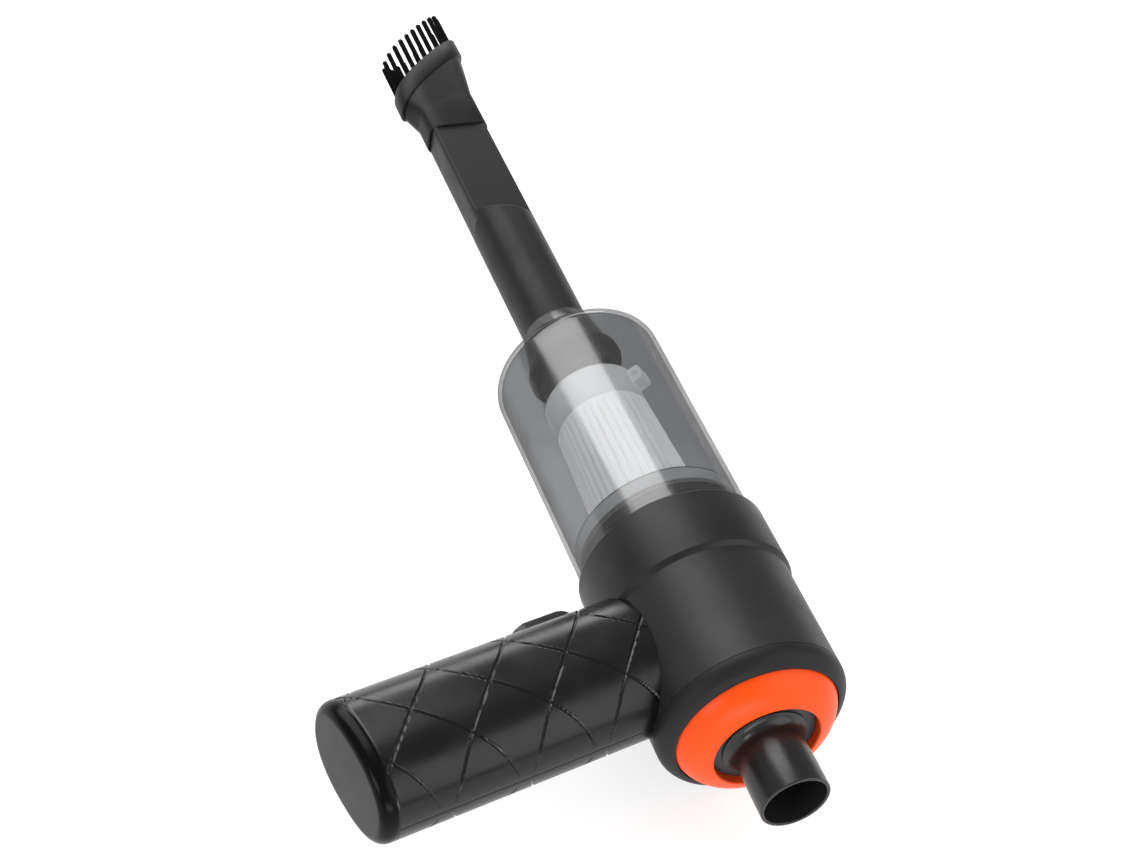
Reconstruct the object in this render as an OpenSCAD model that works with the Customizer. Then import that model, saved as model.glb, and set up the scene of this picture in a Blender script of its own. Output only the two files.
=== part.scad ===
// Cordless handheld vacuum and blower, lying on its right side.
// X runs forward along the barrel, Y out along the handle, Z up through the left side.
// Shapes are drawn about the barrel axis and placed with the origin under the box's centre.

/* [Barrel] */
// Radius of the motor housing
body_r = 34.3; // [34:0.1:34.8]
// Radius of the raised band at the front of the housing
band_r = 35.6; // [35.2:0.1:37]
// How far the housing reaches behind the handle's axis
body_back = 33.3; // [32.5:0.1:36]
// Wall of the motor housing
body_wall = 2.4; // [2.2:0.1:2.6]

/* [Dust cup] */
// Outer radius of the clear cup
cup_r = 33; // [32.9:0.1:33.4]
// Wall of the clear cup
cup_wall = 1.6; // [1.5:0.1:1.6]
// Front face of the cup, from the handle's axis
cup_front = 140; // [138:1:150]
// Length of the neck in front of the cup
neck_len = 18; // [14:1:24]
// Rounding of the cup's front edge
cup_round = 8; // [4:1:10]

/* [Filter] */
// Radius of the pleated cone where it meets its frame
cone_r1 = 20.6; // [19:0.1:22]
// Radius of the pleated cone at its front
cone_r2 = 18.5; // [17:0.1:18.5]
// Number of pleats
pleats = 40; // [24:2:60]

/* [Handle] */
// Backward lean of the handle
lean = 10.9; // [8:0.1:13]
// Depth of the handle, front to back
handle_d = 50.6; // [50:0.1:54]
// Width of the handle, side to side
handle_w = 37.3; // [37:0.1:40]
// End of the handle, from the barrel's axis
handle_len = 139.8; // [139:0.1:150]
// Wall of the handle shells
handle_wall = 2.2; // [2:0.1:2.4]

/* [Blower nozzle] */
// Outer radius of the nozzle's tip
nozzle_r = 12.3; // [12.1:0.1:12.4]
// Inner radius of the nozzle
nozzle_bore_r = 11; // [10.4:0.1:11.2]
// Tip of the nozzle, behind the handle's axis
nozzle_back = 71.8; // [66:0.1:80]

/* [Crevice tool] */
// Outer radius of the tool's round part
tool_r = 13.2; // [13:0.1:13.3]
// Wall of the tool
tool_wall = 1.5; // [1.3:0.1:1.6]
// Half width of the flat part
flat_y = 12.1; // [11.5:0.1:12.4]
// Half thickness of the flat part
flat_z = 6.9; // [6.5:0.1:7.5]
// Where the round part ends
flat_start = 223; // [215:1:236]
// Slant of the crease where the broad faces start
flat_slant = 17; // [0:1:20]

/* [Brush] */
// Half length of the brush's oval rim
rim_y = 19; // [17:0.1:21]
// Half width of the brush's oval rim
rim_z = 10; // [9.2:0.1:11]
// Slant of the rim, from square across the tool
slant = 41; // [30:1:43]
// Length of bristle that stands out of the rim
bristle_len = 22; // [15:1:26]
// Radius of one bristle tuft
tuft_r = 1.0; // [0.8:0.1:1.3]
// Number of tufts around the rim
tufts = 22; // [14:1:24]

/* [Power button] */
// Centre of the button along the handle
button_s = 54; // [53.5:0.5:57]
// Half length of the button
button_l = 13.5; // [12:0.5:13.5]
// Half width of the button
button_w = 7; // [6:0.5:7]
// How far the button's crown stands proud of the handle
button_proud = 3.3; // [2.6:0.1:3.4]

/* [Hidden] */
$fn = 96;
e = 0.1;                 // overshoot of a cut past a face
gap = 0.3;               // air between pieces that move past each other
run = 0.05;              // radial clearance of a running fit

housing_in = body_r - body_wall;
step_x = 10.3;           // rear edge of the front band
band_x = 37.6;           // front face of the front band
neck_out_r = 33;         // outside of the housing under the band
neck_in_r = 31.2;        // inside of the housing under the band
spigot_r = cup_r - cup_wall - gap;
deck_x = 45;             // front face of the intake deck
seal_x = 41.4;           // middle of the cup's seal
seal_floor = cup_r - cup_wall - 1.3;
tab_r1 = 22.3;           // filter frame's bayonet tabs, inner and outer radius
tab_r2 = 24.2;
cup_back = band_x + gap;
neck_x = cup_front + neck_len;
neck_bore = tool_r + run;
neck_r1 = 16.7;
neck_r2 = 14.2;
tube_stop = neck_x - 11; // inner end of the tool in the neck
tube_r = 15.6;
frame_x = 46.4;
cone_x = 52;
cap_x1 = 105;
cap_x2 = 121;
cap_tab_turn = 50;       // side tab's place about the axis, up and away from the handle
shaft_r = 1.58;
can_r = 14;
can_x0 = -24;
can_x1 = 12;
disc_x = -46;            // rear face of the outlet disc
disc_r = 18.7;
sleeve_bore = 12.45;
flat_end = flat_start + 4;
tool_end = 312;
sleeve_x = 286.6;        // rear edge of the brush's sleeve
rim_x = 335.2;           // front plane of the brush's rim on the tool's axis
rim_len = 12;
tuft_in = 2.4;           // tuft centres, inside the rim's outline
rim_n = 2.6;
grip_n = 2.3;
end_bevel = 4.5;
end_inset = 3.6;
cap_s = 134.3;           // where the end cap meets the shells
grip_a = handle_d / 2;
grip_b = handle_w / 2;
grip_ai = grip_a - handle_wall;
grip_bi = grip_b - handle_wall;
board_u = 8;             // rear face of the control board
board_t = 1.6;
cell_r = 9.1;
cell_len = 65;
cell_s = 65.5;
cell_u = 9.15;
switch_u = 15.6;         // top of the switch's case
flange_u = 18.8;         // underside of the button's flange
screw_u = 20.9;
screw_s = [76, 122];

slant_t = tan(slant);
tuft_line = oval(rim_y - tuft_in, rim_z - tuft_in, rim_n, 360);
tuft_run = [for (i = 0, run_len = 0; i <= 360;
    run_len = run_len + norm(tuft_line[(i + 1) % 360] - tuft_line[i % 360]), i = i + 1) [run_len, i]];
tuft_at = [for (k = [0 : tufts - 1])
    let (place = lookup(tuft_run[360][0] * (k + 0.5) / tufts, tuft_run), i = floor(place))
    tuft_line[i] + (tuft_line[(i + 1) % 360] - tuft_line[i]) * (place - i)];
front_x = max([for (p = tuft_at) rim_x - slant_t * p[0] + bristle_len]);
top_y = handle_len * cos(lean) + (grip_a - end_inset) * sin(lean);
origin = [-(front_x - nozzle_back) / 2, -(top_y - band_r) / 2, band_r];

motor_lead_paths = [
    [[-28.4, 9, 1.4], [-28.2, 12, 2.6], [-27.8, 15.5, 4], [-24, 20.5, 5.3], [-18, 26, 5.5],
     [-12, 30, 5], [-8, 36, 4], [-4, 43, 4], [-2.6, 47.4, 4]],
    [[-28.4, -9, -1.4], [-29, -6.5, -5], [-29.4, 0, -7.6], [-28.3, 8, -8], [-27.6, 13, -7.5],
     [-24, 18.5, -6.5], [-18, 25, -5.5], [-12, 30, -5], [-8, 36, -4], [-4, 43, -4],
     [-2.6, 47.4, -4]]];
battery_lead_paths = [
    [[6, 64.6, 2], [4.5, 62.5, 3], [3, 59.5, 5], [3.5, 56.5, 6.5], [5.5, 54.5, 7], [7.1, 53, 7.4]],
    [[-6, 64.6, -2], [-4, 62.5, -4], [0, 59, -6], [4, 56, -7], [7.1, 53.5, -7.4]]];

// ---- shared shapes ----

function power(v, n) = sign(v) * pow(abs(v), n);

function oval_point(a, b, n, t) = [a * power(cos(t), 2 / n), b * power(sin(t), 2 / n)];

function oval(a, b, n, count = 60) = [for (i = [0 : count - 1]) oval_point(a, b, n, 360 * i / count)];

// Points of an arc about c, from angle t0 to t1.
function arc(c, r, t0, t1, count = 10) =
    [for (i = [0 : count]) c + r * [cos(t0 + (t1 - t0) * i / count), sin(t0 + (t1 - t0) * i / count)]];

// A shape turned about the barrel's axis, from points [x, radius].
module turned(points) {
    rotate([0, 90, 0])
        rotate_extrude()
            polygon([for (p = points) [p[1], p[0]]]);
}

module rod_x(r, x0, x1) {
    translate([x0, 0, 0])
        rotate([0, 90, 0])
            cylinder(r = r, h = x1 - x0);
}

module ring_x(r_out, r_in, x0, x1) {
    difference() {
        rod_x(r_out, x0, x1);
        rod_x(r_in, x0 - 1, x1 + 1);
    }
}

// The handle's own axes: X to its front, Y out along it, Z to the left side.
module on_handle() {
    rotate([0, 0, lean])
        children();
}

// A prism along the handle, from s0 to s1.
module along_handle(s0, s1) {
    translate([0, s0, 0])
        rotate([-90, 0, 0])
            linear_extrude(height = s1 - s0)
                children();
}

// A prism from x0 to x1 whose outline lies across the barrel, first coordinate along Y.
module along_barrel(x0, x1) {
    translate([x0, 0, 0])
        rotate([90, 0, 90])
            linear_extrude(height = x1 - x0)
                children();
}

module slot_outline(half_l, half_w) {
    square([2 * (half_l - half_w), 2 * half_w], center = true);
    for (side = [-1, 1])
        translate([side * (half_l - half_w), 0])
            circle(r = half_w, $fn = 48);
}

// A round wire swept along points.
module wire(points, r, sides = 8) {
    count = len(points);
    rings = [for (i = [0 : count - 1])
        let (ahead = points[min(i + 1, count - 1)] - points[max(i - 1, 0)],
             dir = ahead / norm(ahead),
             side = cross(dir, [0, 0.1, 1]),
             u = side / norm(side),
             v = cross(dir, u))
        for (k = [0 : sides - 1])
            points[i] + r * (cos(360 * k / sides) * u + sin(360 * k / sides) * v)];
    skin = [for (i = [0 : count - 2])
        for (k = [0 : sides - 1])
            let (a = i * sides + k, b = i * sides + (k + 1) % sides)
            [a, a + sides, b + sides, b]];
    first = [for (k = [0 : sides - 1]) k];
    last = [for (k = [sides - 1 : -1 : 0]) (count - 1) * sides + k];
    polyhedron(points = rings, faces = concat(skin, [first, last]), convexity = 6);
}

// Everything is drawn about the barrel's axis and moved here to the part's origin.
module place() {
    translate(origin)
        children();
}

// ---- barrel ----

// A many-sided outline that just encloses a circle.
function ring_points(r, count = 144) =
    [for (i = [0 : count - 1]) r / cos(180 / count) * [cos(360 * i / count), sin(360 * i / count)]];

// The barrel's outside, with the band, as a cutter for what meets it.
module barrel_cutter() {
    along_barrel(-80, step_x)
        polygon(ring_points(body_r));
    along_barrel(step_x - e, 80)
        polygon(ring_points(band_r));
}

module motor_housing() {
    wire_hole_r = 9;
    boss_end = 46;
    notch_s = button_s - button_l - 2;
    color("#2b2b2d") place() difference() {
        union() {
            turned([[-body_back, housing_in], [-body_back, body_r], [step_x, body_r],
                    [step_x, neck_out_r], [band_x - 0.6, neck_out_r], [band_x - 0.6, neck_in_r],
                    [step_x - 2, neck_in_r], [step_x - 2, housing_in]]);
            // Boss that the handle shells close around
            difference() {
                on_handle() difference() {
                    along_handle(20, boss_end)
                        polygon(oval(grip_ai - 0.1, grip_bi - 0.1, grip_n));
                    along_handle(19, boss_end + 1)
                        polygon(oval(grip_ai - 2, grip_bi - 2, grip_n));
                    // Room for the button's flange
                    translate([grip_ai - 7, notch_s, -10])
                        cube([9, boss_end + 2 - notch_s, 20]);
                }
                ring_x(band_r + e, neck_out_r, step_x, band_x + 5);
            }
        }
        rod_x(housing_in, -body_back - 1, step_x - 2);
        rod_x(neck_in_r, step_x - 3, band_x + 1);
        on_handle()
            along_handle(25, 40)
                circle(r = wire_hole_r);
    }
}

module front_band() {
    color("#303133") place()
        turned([[step_x, neck_out_r], [step_x, body_r], [step_x + 1.8, band_r],
                [band_x - 1.7, band_r], [band_x, neck_out_r + 0.5], [band_x, neck_out_r]]);
}

module rear_collar() {
    lip_x = -38.5;
    color("#29292b") place()
        turned(concat(
            [[-body_back, housing_in - run], [-body_back, body_r]],
            arc([-body_back - 1, 27.6], 6.7, 90, 159, 12),
            [[-40.6, 29.4], [lip_x, 29.4], [lip_x, 28], [lip_x + 2, 28],
             [lip_x + 2, 30.3], [-28, 30.3], [-28, housing_in - run]]));
}

// Outer outline of the orange ring: a shallow arc from the collar back to its mouth.
function ring_arc(inset) =
    let (a = [-39.9, 29.2 - inset], b = [-48.7 + inset, disc_r + 1.5], bulge = 1.6)
    [for (i = [0 : 12])
        let (t = i / 12)
        a + (b - a) * t + bulge * 4 * t * (1 - t) * [-0.77, 0.64]];

module orange_ring() {
    skin = 1.8;
    base_x = -38.5;
    outer = ring_arc(0);
    inner = ring_arc(skin);
    color("#f5521b") place()
        turned(concat(
            [[base_x, 29.2]], outer, [[-48.9, disc_r + 0.8], [-48.5, disc_r], [-43.9, disc_r],
             [-43.9, disc_r + 1.5]],
            [for (i = [12 : -1 : 0]) inner[i]], [[base_x, 29.2 - skin]]));
}

module outlet_disc() {
    sleeve_r = 14;
    color("#3a3b3d") place()
        turned([[disc_x, sleeve_bore], [disc_x, disc_r], [-43.9, disc_r], [-43.9, disc_r + 1.5],
                [-42.4, disc_r + 1.5], [-42.4, sleeve_r], [-30, sleeve_r], [-30, sleeve_bore]]);
}

module blower_nozzle() {
    seat_x = disc_x - gap;
    flare_r = 15;
    tip_x = -nozzle_back;
    color("#1f1f20") place()
        turned(concat(
            [[tip_x + 0.3, nozzle_bore_r], [tip_x, nozzle_bore_r + 0.3], [tip_x, nozzle_r - 0.3],
             [tip_x + 0.3, nozzle_r], [tip_x + 10.3, nozzle_r], [seat_x - 5.2, nozzle_r - 0.25]],
            arc([seat_x - 4.2, flare_r + 1.05], 4, 270, 330, 8),
            [[seat_x - 0.4, flare_r], [seat_x, flare_r], [seat_x, sleeve_bore - run],
             [-34, sleeve_bore - run], [-34, nozzle_bore_r]]));
}

// ---- fan and motor ----

module intake_deck() {
    bore = 17;
    color("#232325") place() difference() {
        turned([[22, spigot_r - 1.6], [22, spigot_r], [deck_x - 0.8, spigot_r],
                [deck_x, spigot_r - 0.8], [deck_x, 0], [deck_x - 2, 0], [deck_x - 2, spigot_r - 1.6]]);
        // Groove of the cup's seal
        ring_x(spigot_r + 1, seal_floor, seal_x - 0.7, seal_x + 0.7);
        // Intake openings between the guard's bars
        intersection() {
            ring_x(bore, 5, deck_x - 3, deck_x + 1);
            union() for (i = [0 : 5])
                rotate([60 * i + 4, 0, 0])
                    translate([deck_x - 4, 0, 0])
                        rotate([0, 90, 0])
                            linear_extrude(height = 6)
                                polygon([[0, 0], [30, 0], [30 * cos(52), 30 * sin(52)]]);
        }
        // Slots that take the filter frame's two tabs and let them turn
        for (side = [0, 180])
            intersection() {
                ring_x(tab_r2 + gap, tab_r1 - gap, deck_x - 3, deck_x + 1);
                along_barrel(deck_x - 3, deck_x + 1)
                    polygon([[0, 0], 60 * [cos(side + 74), sin(side + 74)],
                             60 * [cos(side + 100), sin(side + 100)],
                             60 * [cos(side + 126), sin(side + 126)]]);
            }
    }
}

module cup_seal() {
    seal_r = 0.6;
    color("#151515") place()
        translate([seal_x, 0, 0])
            rotate([0, 90, 0])
                rotate_extrude()
                    translate([cup_r - cup_wall - run - seal_r, 0])
                        circle(r = seal_r, $fn = 32);
}

module fan_shroud() {
    eye = 11;
    skirt = 27.5;
    color("#4a4b4e") place() difference() {
        turned([[14, skirt], [14, neck_in_r - 0.1], [15.5, neck_in_r - 0.1], [15.5, skirt + 1.5],
                [26.4, skirt + 1.5], [32.2, eye + 1.4], [33.4, eye + 0.7], [33.4, eye],
                [30.6, eye], [25.6, skirt - 3], [25.6, skirt]]);
        for (i = [0 : 2])
            rotate([120 * i, 0, 0])
                translate([0, 0, 30.05])
                    rod_x(0.8, 13, 17);
    }
}

module motor_bracket() {
    color("#8d9094") place() difference() {
        union() {
            rod_x(neck_in_r - 0.1, can_x1, 14);
            for (i = [0 : 7])
                rotate([45 * i - 0.5, 0, 0])
                    translate([13.5, -0.6, 16])
                        cube([2.9, 1.2, 11]);
        }
        rod_x(5.1, can_x1 - 1, 15);
        for (i = [0 : 7])
            rotate([45 * i + 22, 0, 0])
                intersection() {
                    ring_x(26.5, 18, can_x1 - 1, 15);
                    translate([can_x1 - 2, -5, 0])
                        cube([6, 10, 40]);
                }
        for (side = [-1, 1])
            translate([0, side * 8, 0])
                rod_x(1.3, can_x1 - 1, 15);
        for (i = [0 : 2])
            rotate([120 * i, 0, 0])
                translate([0, 0, 30.05])
                    rod_x(0.8, can_x1 - 1, 15);
    }
}

module screw_x(r, x0, x1, head_r, head_h) {
    rod_x(r, x0, x1);
    rod_x(head_r, x1, x1 + head_h);
}

module fan_screws() {
    color("#b9bcc0") place()
        for (i = [0 : 2])
            rotate([120 * i, 0, 0])
                translate([0, 0, 30.05])
                    screw_x(0.75, can_x1, 15.5, 1, 0.9);
}

module motor_screws() {
    color("#b9bcc0") place()
        for (side = [-1, 1])
            translate([0, side * 8, 0])
                screw_x(1.25, can_x1 - 1.2, 14, 2.3, 1.4);
}

module motor_can() {
    can_wall = 1.1;
    color("#a9adb2") place() difference() {
        union() {
            rod_x(can_r, can_x0, can_x1);
            rod_x(5, can_x1 - 0.5, 14.5);
        }
        rod_x(can_r - can_wall, can_x0 - 1, can_x1 - 1.2);
        rod_x(3, can_x1 - 3, 16);
        for (side = [-1, 1])
            translate([0, side * 8, 0])
                rod_x(1.25, can_x1 - 2, can_x1 + 1);
    }
}

module motor_magnets() {
    color("#3c3d40") place()
        for (side = [0, 180])
            rotate([side, 0, 0])
                intersection() {
                    ring_x(can_r - 1.1, 9.9, -17, 4);
                    translate([-18, -11, 4])
                        cube([24, 22, 12]);
                }
}

module motor_end_bell() {
    color("#e8e6df") place() difference() {
        union() {
            rod_x(can_r - 0.1, can_x0 - 2, can_x0);
            rod_x(4.6, can_x0 - 5, can_x0 - 1);
            for (side = [-1, 1])
                translate([can_x0 - 0.5, -3, side * 7.5 - 2.5])
                    cube([4.5, 6, 5]);
        }
        rod_x(3, can_x0 - 6, can_x0 + 1);
        for (side = [-1, 1])
            translate([can_x0 + 0.5, -1.6, side * 7.5 - 3])
                cube([2.6, 3.2, 6]);
        for (side = [-1, 1])
            translate([can_x0 - 3, side * 9 - 1.6, -0.45])
                cube([5, 3.2, 0.9]);
    }
}

module bush(x0, x1) {
    ring_x(3, shaft_r + run, x0, x1);
}

module front_bush() {
    color("#b08d57") place()
        bush(10.8, 14.5);
}

module rear_bush() {
    color("#b08d57") place()
        bush(can_x0 - 5, can_x0 - 1);
}

module carbon_brushes() {
    color("#1c1c1c") place() difference() {
        for (side = [-1, 1])
            translate([can_x0 + 0.6, -1.5, side * 6 - 2.9])
                cube([2.4, 3, 5.8]);
        rod_x(3.5 + run, can_x0, can_x0 + 4);
    }
}

module motor_terminals() {
    color("#c9a24a") place()
        for (side = [-1, 1])
            translate([can_x0 - 5.5, side * 9 - 1.5, -0.4])
                cube([5.5, 3, 0.8]);
}

module suppression_capacitor() {
    body_x = can_x0 - 6.6;
    color("#3f6fb0") place() {
        translate([body_x - 1, 0, 6.6])
            rotate([0, 90, 0])
                cylinder(r = 3.2, h = 2, $fn = 40);
        for (side = [-1, 1])
            wire([[body_x, side * 1.6, 4.4], [body_x, side * 3.5, 3], [body_x, side * 6.6, 1],
                  [body_x + 0.5, side * 9, 0], [body_x + 1.1, side * 9, 0]], 0.35);
    }
}

module rear_damper() {
    color("#171717") place()
        ring_x(15.5, can_r, -20, -12);
}

module motor_cradle() {
    color("#55575a") place() {
        ring_x(17, 15.5, -20, -12);
        difference() {
            for (turn = [90, 210, 330])
                rotate([turn + 90, 0, 0])
                    translate([-19, -1.3, 16.5])
                        cube([6, 2.6, 16]);
            ring_x(40, housing_in, -22, -10);
        }
    }
}

module motor_leads() {
    color("#b3261e") place()
        for (path = motor_lead_paths)
            wire(path, 0.9);
}

// ---- turning parts of the motor and fan ----

module motor_shaft() {
    color("#d5d8db") place()
        rod_x(shaft_r, can_x0 - 5.4, 33.2);
}

module armature() {
    slots = 5;
    color("#9a5b2e") place() difference() {
        union() {
            rod_x(9.4, -15, 2);
            ring_x(8, shaft_r, -18.5, 5);
        }
        rod_x(shaft_r, -20, 10);
        for (i = [0 : slots - 1])
            rotate([360 * i / slots, 0, 0])
                translate([-15.1, -0.9, 8.2])
                    cube([17.2, 1.8, 4]);
    }
}

module commutator() {
    color("#c27c3e") place() difference() {
        ring_x(3.5, shaft_r, can_x0 + 0.4, -18.5);
        for (i = [0 : 4])
            rotate([72 * i, 0, 0])
                translate([can_x0, -0.2, 3.1])
                    cube([6, 0.4, 1]);
    }
}

module impeller() {
    blades = 9;
    blade_t = 1.1;
    sweep_r = 17;
    back_x = 18;
    color("#d8dadc") place() difference() {
        union() {
            rod_x(24, back_x, back_x + 1.2);
            turned([[back_x, 0], [back_x, 9], [back_x + 3, 6], [29.9, 4.2], [29.9, 0]]);
            intersection() {
                turned([[back_x + 1, 3], [back_x + 1, 24], [24.6, 24], [29.4, 11], [29.4, 3]]);
                union() for (i = [0 : blades - 1])
                    rotate([360 * i / blades, 0, 0])
                        translate([0, sweep_r - 4, -sweep_r + 12])
                            ring_x(sweep_r, sweep_r - blade_t, back_x, 30);
            }
        }
        rod_x(shaft_r, back_x - 1, 31);
    }
}

module impeller_nut() {
    color("#c7cacd") place() difference() {
        translate([30, 0, 0])
            rotate([0, 90, 0])
                cylinder(r = 3.4, h = 2.4, $fn = 6);
        rod_x(shaft_r, 29, 34);
    }
}

// ---- dust cup and filter ----

module dust_cup() {
    r_in = cup_r - cup_wall;
    x_in = cup_front - cup_wall;
    round_in = cup_round - cup_wall;
    color([0.55, 0.57, 0.6, 0.35]) place()
        turned(concat(
            [[cup_back, r_in], [cup_back, cup_r]],
            arc([cup_front - cup_round, cup_r - cup_round], cup_round, 90, 0),
            [[cup_front, neck_r1 + 1], [cup_front + 1, neck_r1], [neck_x - 0.4, neck_r2],
             [neck_x, neck_r2 - 0.4], [neck_x, neck_bore], [x_in, neck_bore]],
            arc([cup_front - cup_round, cup_r - cup_round], round_in, 0, 90)));
}

module inlet_tube() {
    cut_x1 = 122.6;
    cut_x2 = 130;
    flange = 2;
    x_in = cup_front - cup_wall;
    color("#1e1e20") place() difference() {
        turned([[110, tube_r - 1.6], [110, tube_r], [x_in - flange, tube_r],
                [x_in - flange, tube_r + 3], [x_in, tube_r + 3], [x_in, neck_bore - 0.01],
                [tube_stop, neck_bore - 0.01], [tube_stop, neck_bore - 1.4], [x_in, neck_bore - 1.4],
                [x_in - 3, tube_r - 1.6]]);
        // Slanted inner end, longest on the handle's side
        translate([0, 0, -20])
            linear_extrude(height = 40)
                polygon([[100, 20], [cut_x1, 20], [cut_x1, tube_r - 4], [cut_x2, -tube_r + 8],
                         [cut_x2, -20], [100, -20]]);
    }
}

module filter_frame() {
    rim = cup_r - cup_wall - 0.45;
    color("#b9bbbd") place() {
        turned([[frame_x, 16], [frame_x, rim], [cone_x - 0.8, rim], [cone_x, rim - 0.8],
                [cone_x, cone_r1 + 0.4], [cone_x - 2, cone_r1 + 0.4], [cone_x - 2, 16]]);
        // Two tabs that turn in the deck's ring slot
        for (side = [0, 180])
            rotate([side, 0, 0])
                intersection() {
                    ring_x(tab_r2, tab_r1, deck_x - 1.8, frame_x + 0.5);
                    translate([deck_x - 2, -5, 0])
                        cube([6, 10, 40]);
                }
    }
}

module filter_gasket() {
    color("#9c9fa2") place()
        ring_x(29.5, 25.5, deck_x + e, frame_x);
}

module filter_cone() {
    pleat_depth = 1.5;
    skin = 1.2;
    len_x = cap_x1 - cone_x + 2;
    color("#f2f3f3") place() difference() {
        turned([[cone_x - 2, cone_r1 - 3.2], [cone_x - 2, cone_r1], [cap_x1, cone_r2],
                [cap_x1, cone_r2 - 3.2]]);
        for (i = [0 : pleats - 1])
            rotate([360 * i / pleats, 0, 0])
                translate([cone_x + 1, 0, cone_r1])
                    rotate([0, atan((cone_r1 - cone_r2) / len_x), 0])
                        translate([0, 0, -pleat_depth])
                            rotate([45, 0, 0])
                                cube([len_x - 6, skin * 2, skin * 2]);
    }
}

module filter_cap() {
    color([0.75, 0.76, 0.78, 0.6]) place() difference() {
        union() {
            turned([[cap_x1, 0], [cap_x1, cone_r2], [cap_x2 - 1.5, cone_r2], [cap_x2, cone_r2 - 1.5],
                    [cap_x2, cone_r2 - 3], [cap_x1 + 2, cone_r2 - 3], [cap_x1 + 2, 0]]);
            rotate([cap_tab_turn, 0, 0])
                translate([112, -3.5, cone_r2 - 1])
                    cube([6.5, 7, 5.5]);
        }
        rotate([cap_tab_turn, 0, 0])
            translate([115.2, 0, cone_r2 + 1.6])
                rotate([90, 0, 0])
                    cylinder(r = 1.5, h = 20, center = true, $fn = 32);
    }
}

// ---- handle ----

// The handle's whole outline less its hollow, up to the end cap.
module grip_tube() {
    difference() {
        along_handle(20, cap_s)
            polygon(oval(grip_a, grip_b, grip_n));
        along_handle(19, cap_s + 1)
            polygon(oval(grip_ai, grip_bi, grip_n));
    }
}

// Half of the handle: side is 1 for the left shell and -1 for the right.
module grip_half(side) {
    difference() {
        on_handle() difference() {
            intersection() {
                union() {
                    grip_tube();
                    for (s = screw_s, u = [-screw_u, screw_u])
                        translate([u, s, side > 0 ? 0 : -11])
                            cylinder(r = 2.3, h = 11, $fn = 40);
                }
                translate([-40, 0, side > 0 ? 0 : -40])
                    cube([80, 200, 40]);
                along_handle(19, cap_s + 1)
                    polygon(oval(grip_a, grip_b, grip_n));
            }
            // Opening for the button
            translate([10, button_s, 0])
                rotate([0, 90, 0])
                    linear_extrude(height = 30)
                        rotate([0, 0, 90])
                            slot_outline(button_l + gap + 0.05, button_w + gap + 0.05);
            // Screw holes: through the right shell, blind in the left
            for (s = screw_s, u = [-screw_u, screw_u])
                translate([u, s, side > 0 ? -1 : -30])
                    cylinder(r = side > 0 ? 1.0 : 1.4, h = side > 0 ? 9 : 31, $fn = 32);
            // Counterbores for the screw heads
            if (side < 0)
                for (s = screw_s, u = [-screw_u, screw_u])
                    translate([u, s, -30])
                        cylinder(r = 2.0, h = 22.5, $fn = 32);
            // Mouth of the charging socket
            if (side < 0)
                translate([board_u + board_t + 1.6, button_s, -25])
                    linear_extrude(height = 15)
                        rotate([0, 0, 90])
                            slot_outline(4.75, 1.85);
        }
        barrel_cutter();
    }
}

module handle_left() {
    color("#1d1d1f") place()
        grip_half(1);
}

module handle_right() {
    color("#1d1d1f") place()
        grip_half(-1);
}

// A slice of the handle that ends at s, drawn in from its outline.
module grip_slice(s, inset, depth = 0.4) {
    along_handle(s - depth, s)
        polygon(oval(grip_a - inset, grip_b - inset, grip_n));
}

module handle_end_cap() {
    skirt_s = 131.3;
    color("#232325") place() on_handle() {
        // Rounded edge from the shells in to the flat end
        difference() {
            hull() {
                grip_slice(handle_len - end_bevel, 0, handle_len - end_bevel - cap_s);
                grip_slice(handle_len - end_bevel * 0.5, end_inset * 0.15);
                grip_slice(handle_len - end_bevel * 0.15, end_inset * 0.52);
                grip_slice(handle_len, end_inset);
            }
            along_handle(cap_s - 1, handle_len - 2.5)
                polygon(oval(grip_ai - 2.4, grip_bi - 2.4, grip_n));
        }
        // Skirt that plugs into the shells
        difference() {
            along_handle(skirt_s, cap_s + 0.5)
                polygon(oval(grip_ai - 0.1, grip_bi - 0.1, grip_n));
            along_handle(skirt_s - 1, cap_s + 1)
                polygon(oval(grip_ai - 1.6, grip_bi - 1.6, grip_n));
        }
    }
}

module handle_screws() {
    color("#b9bcc0") place() on_handle()
        for (s = screw_s, u = [-screw_u, screw_u])
            translate([u, s, 0]) {
                translate([0, 0, -7.5])
                    cylinder(r = 0.98, h = 14, $fn = 32);
                translate([0, 0, -9.2])
                    cylinder(r = 1.9, h = 1.7, $fn = 32);
            }
}

module control_board() {
    color("#1f6b3a") place() on_handle() {
        translate([board_u, 47.5, -15.2])
            cube([board_t, 16, 30.4]);
        // Driver chips and the motor's transistor
        translate([board_u - 1.4, 50, -4])
            cube([1.4, 5, 5]);
        translate([board_u - 2.2, 57, 3])
            cube([2.2, 5.5, 6]);
        translate([board_u + board_t, 49, 7])
            cube([1.2, 4, 4]);
    }
}

module power_switch() {
    color("#26272a") place() on_handle() difference() {
        translate([board_u + board_t, button_s - 4.2, -4.2])
            cube([switch_u - board_u - board_t, 8.4, 8.4]);
        translate([board_u + board_t + 1.4, button_s, 0])
            rotate([0, 90, 0])
                cylinder(r = 1.65, h = 10, $fn = 40);
    }
}

module switch_plunger() {
    color("#e3e3e0") place() on_handle()
        translate([switch_u - 2.4, button_s, 0])
            rotate([0, 90, 0])
                cylinder(r = 1.57, h = flange_u - switch_u + 2.4, $fn = 40);
}

module charge_socket() {
    color("#b5b8bb") place() on_handle()
        translate([board_u + board_t + 1.6, button_s, -16.9])
            difference() {
                linear_extrude(height = 7.4)
                    rotate([0, 0, 90])
                        slot_outline(4.5, 1.6);
                translate([0, 0, -1])
                    linear_extrude(height = 7)
                        rotate([0, 0, 90])
                            slot_outline(4.2, 1.3);
                }
}

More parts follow.
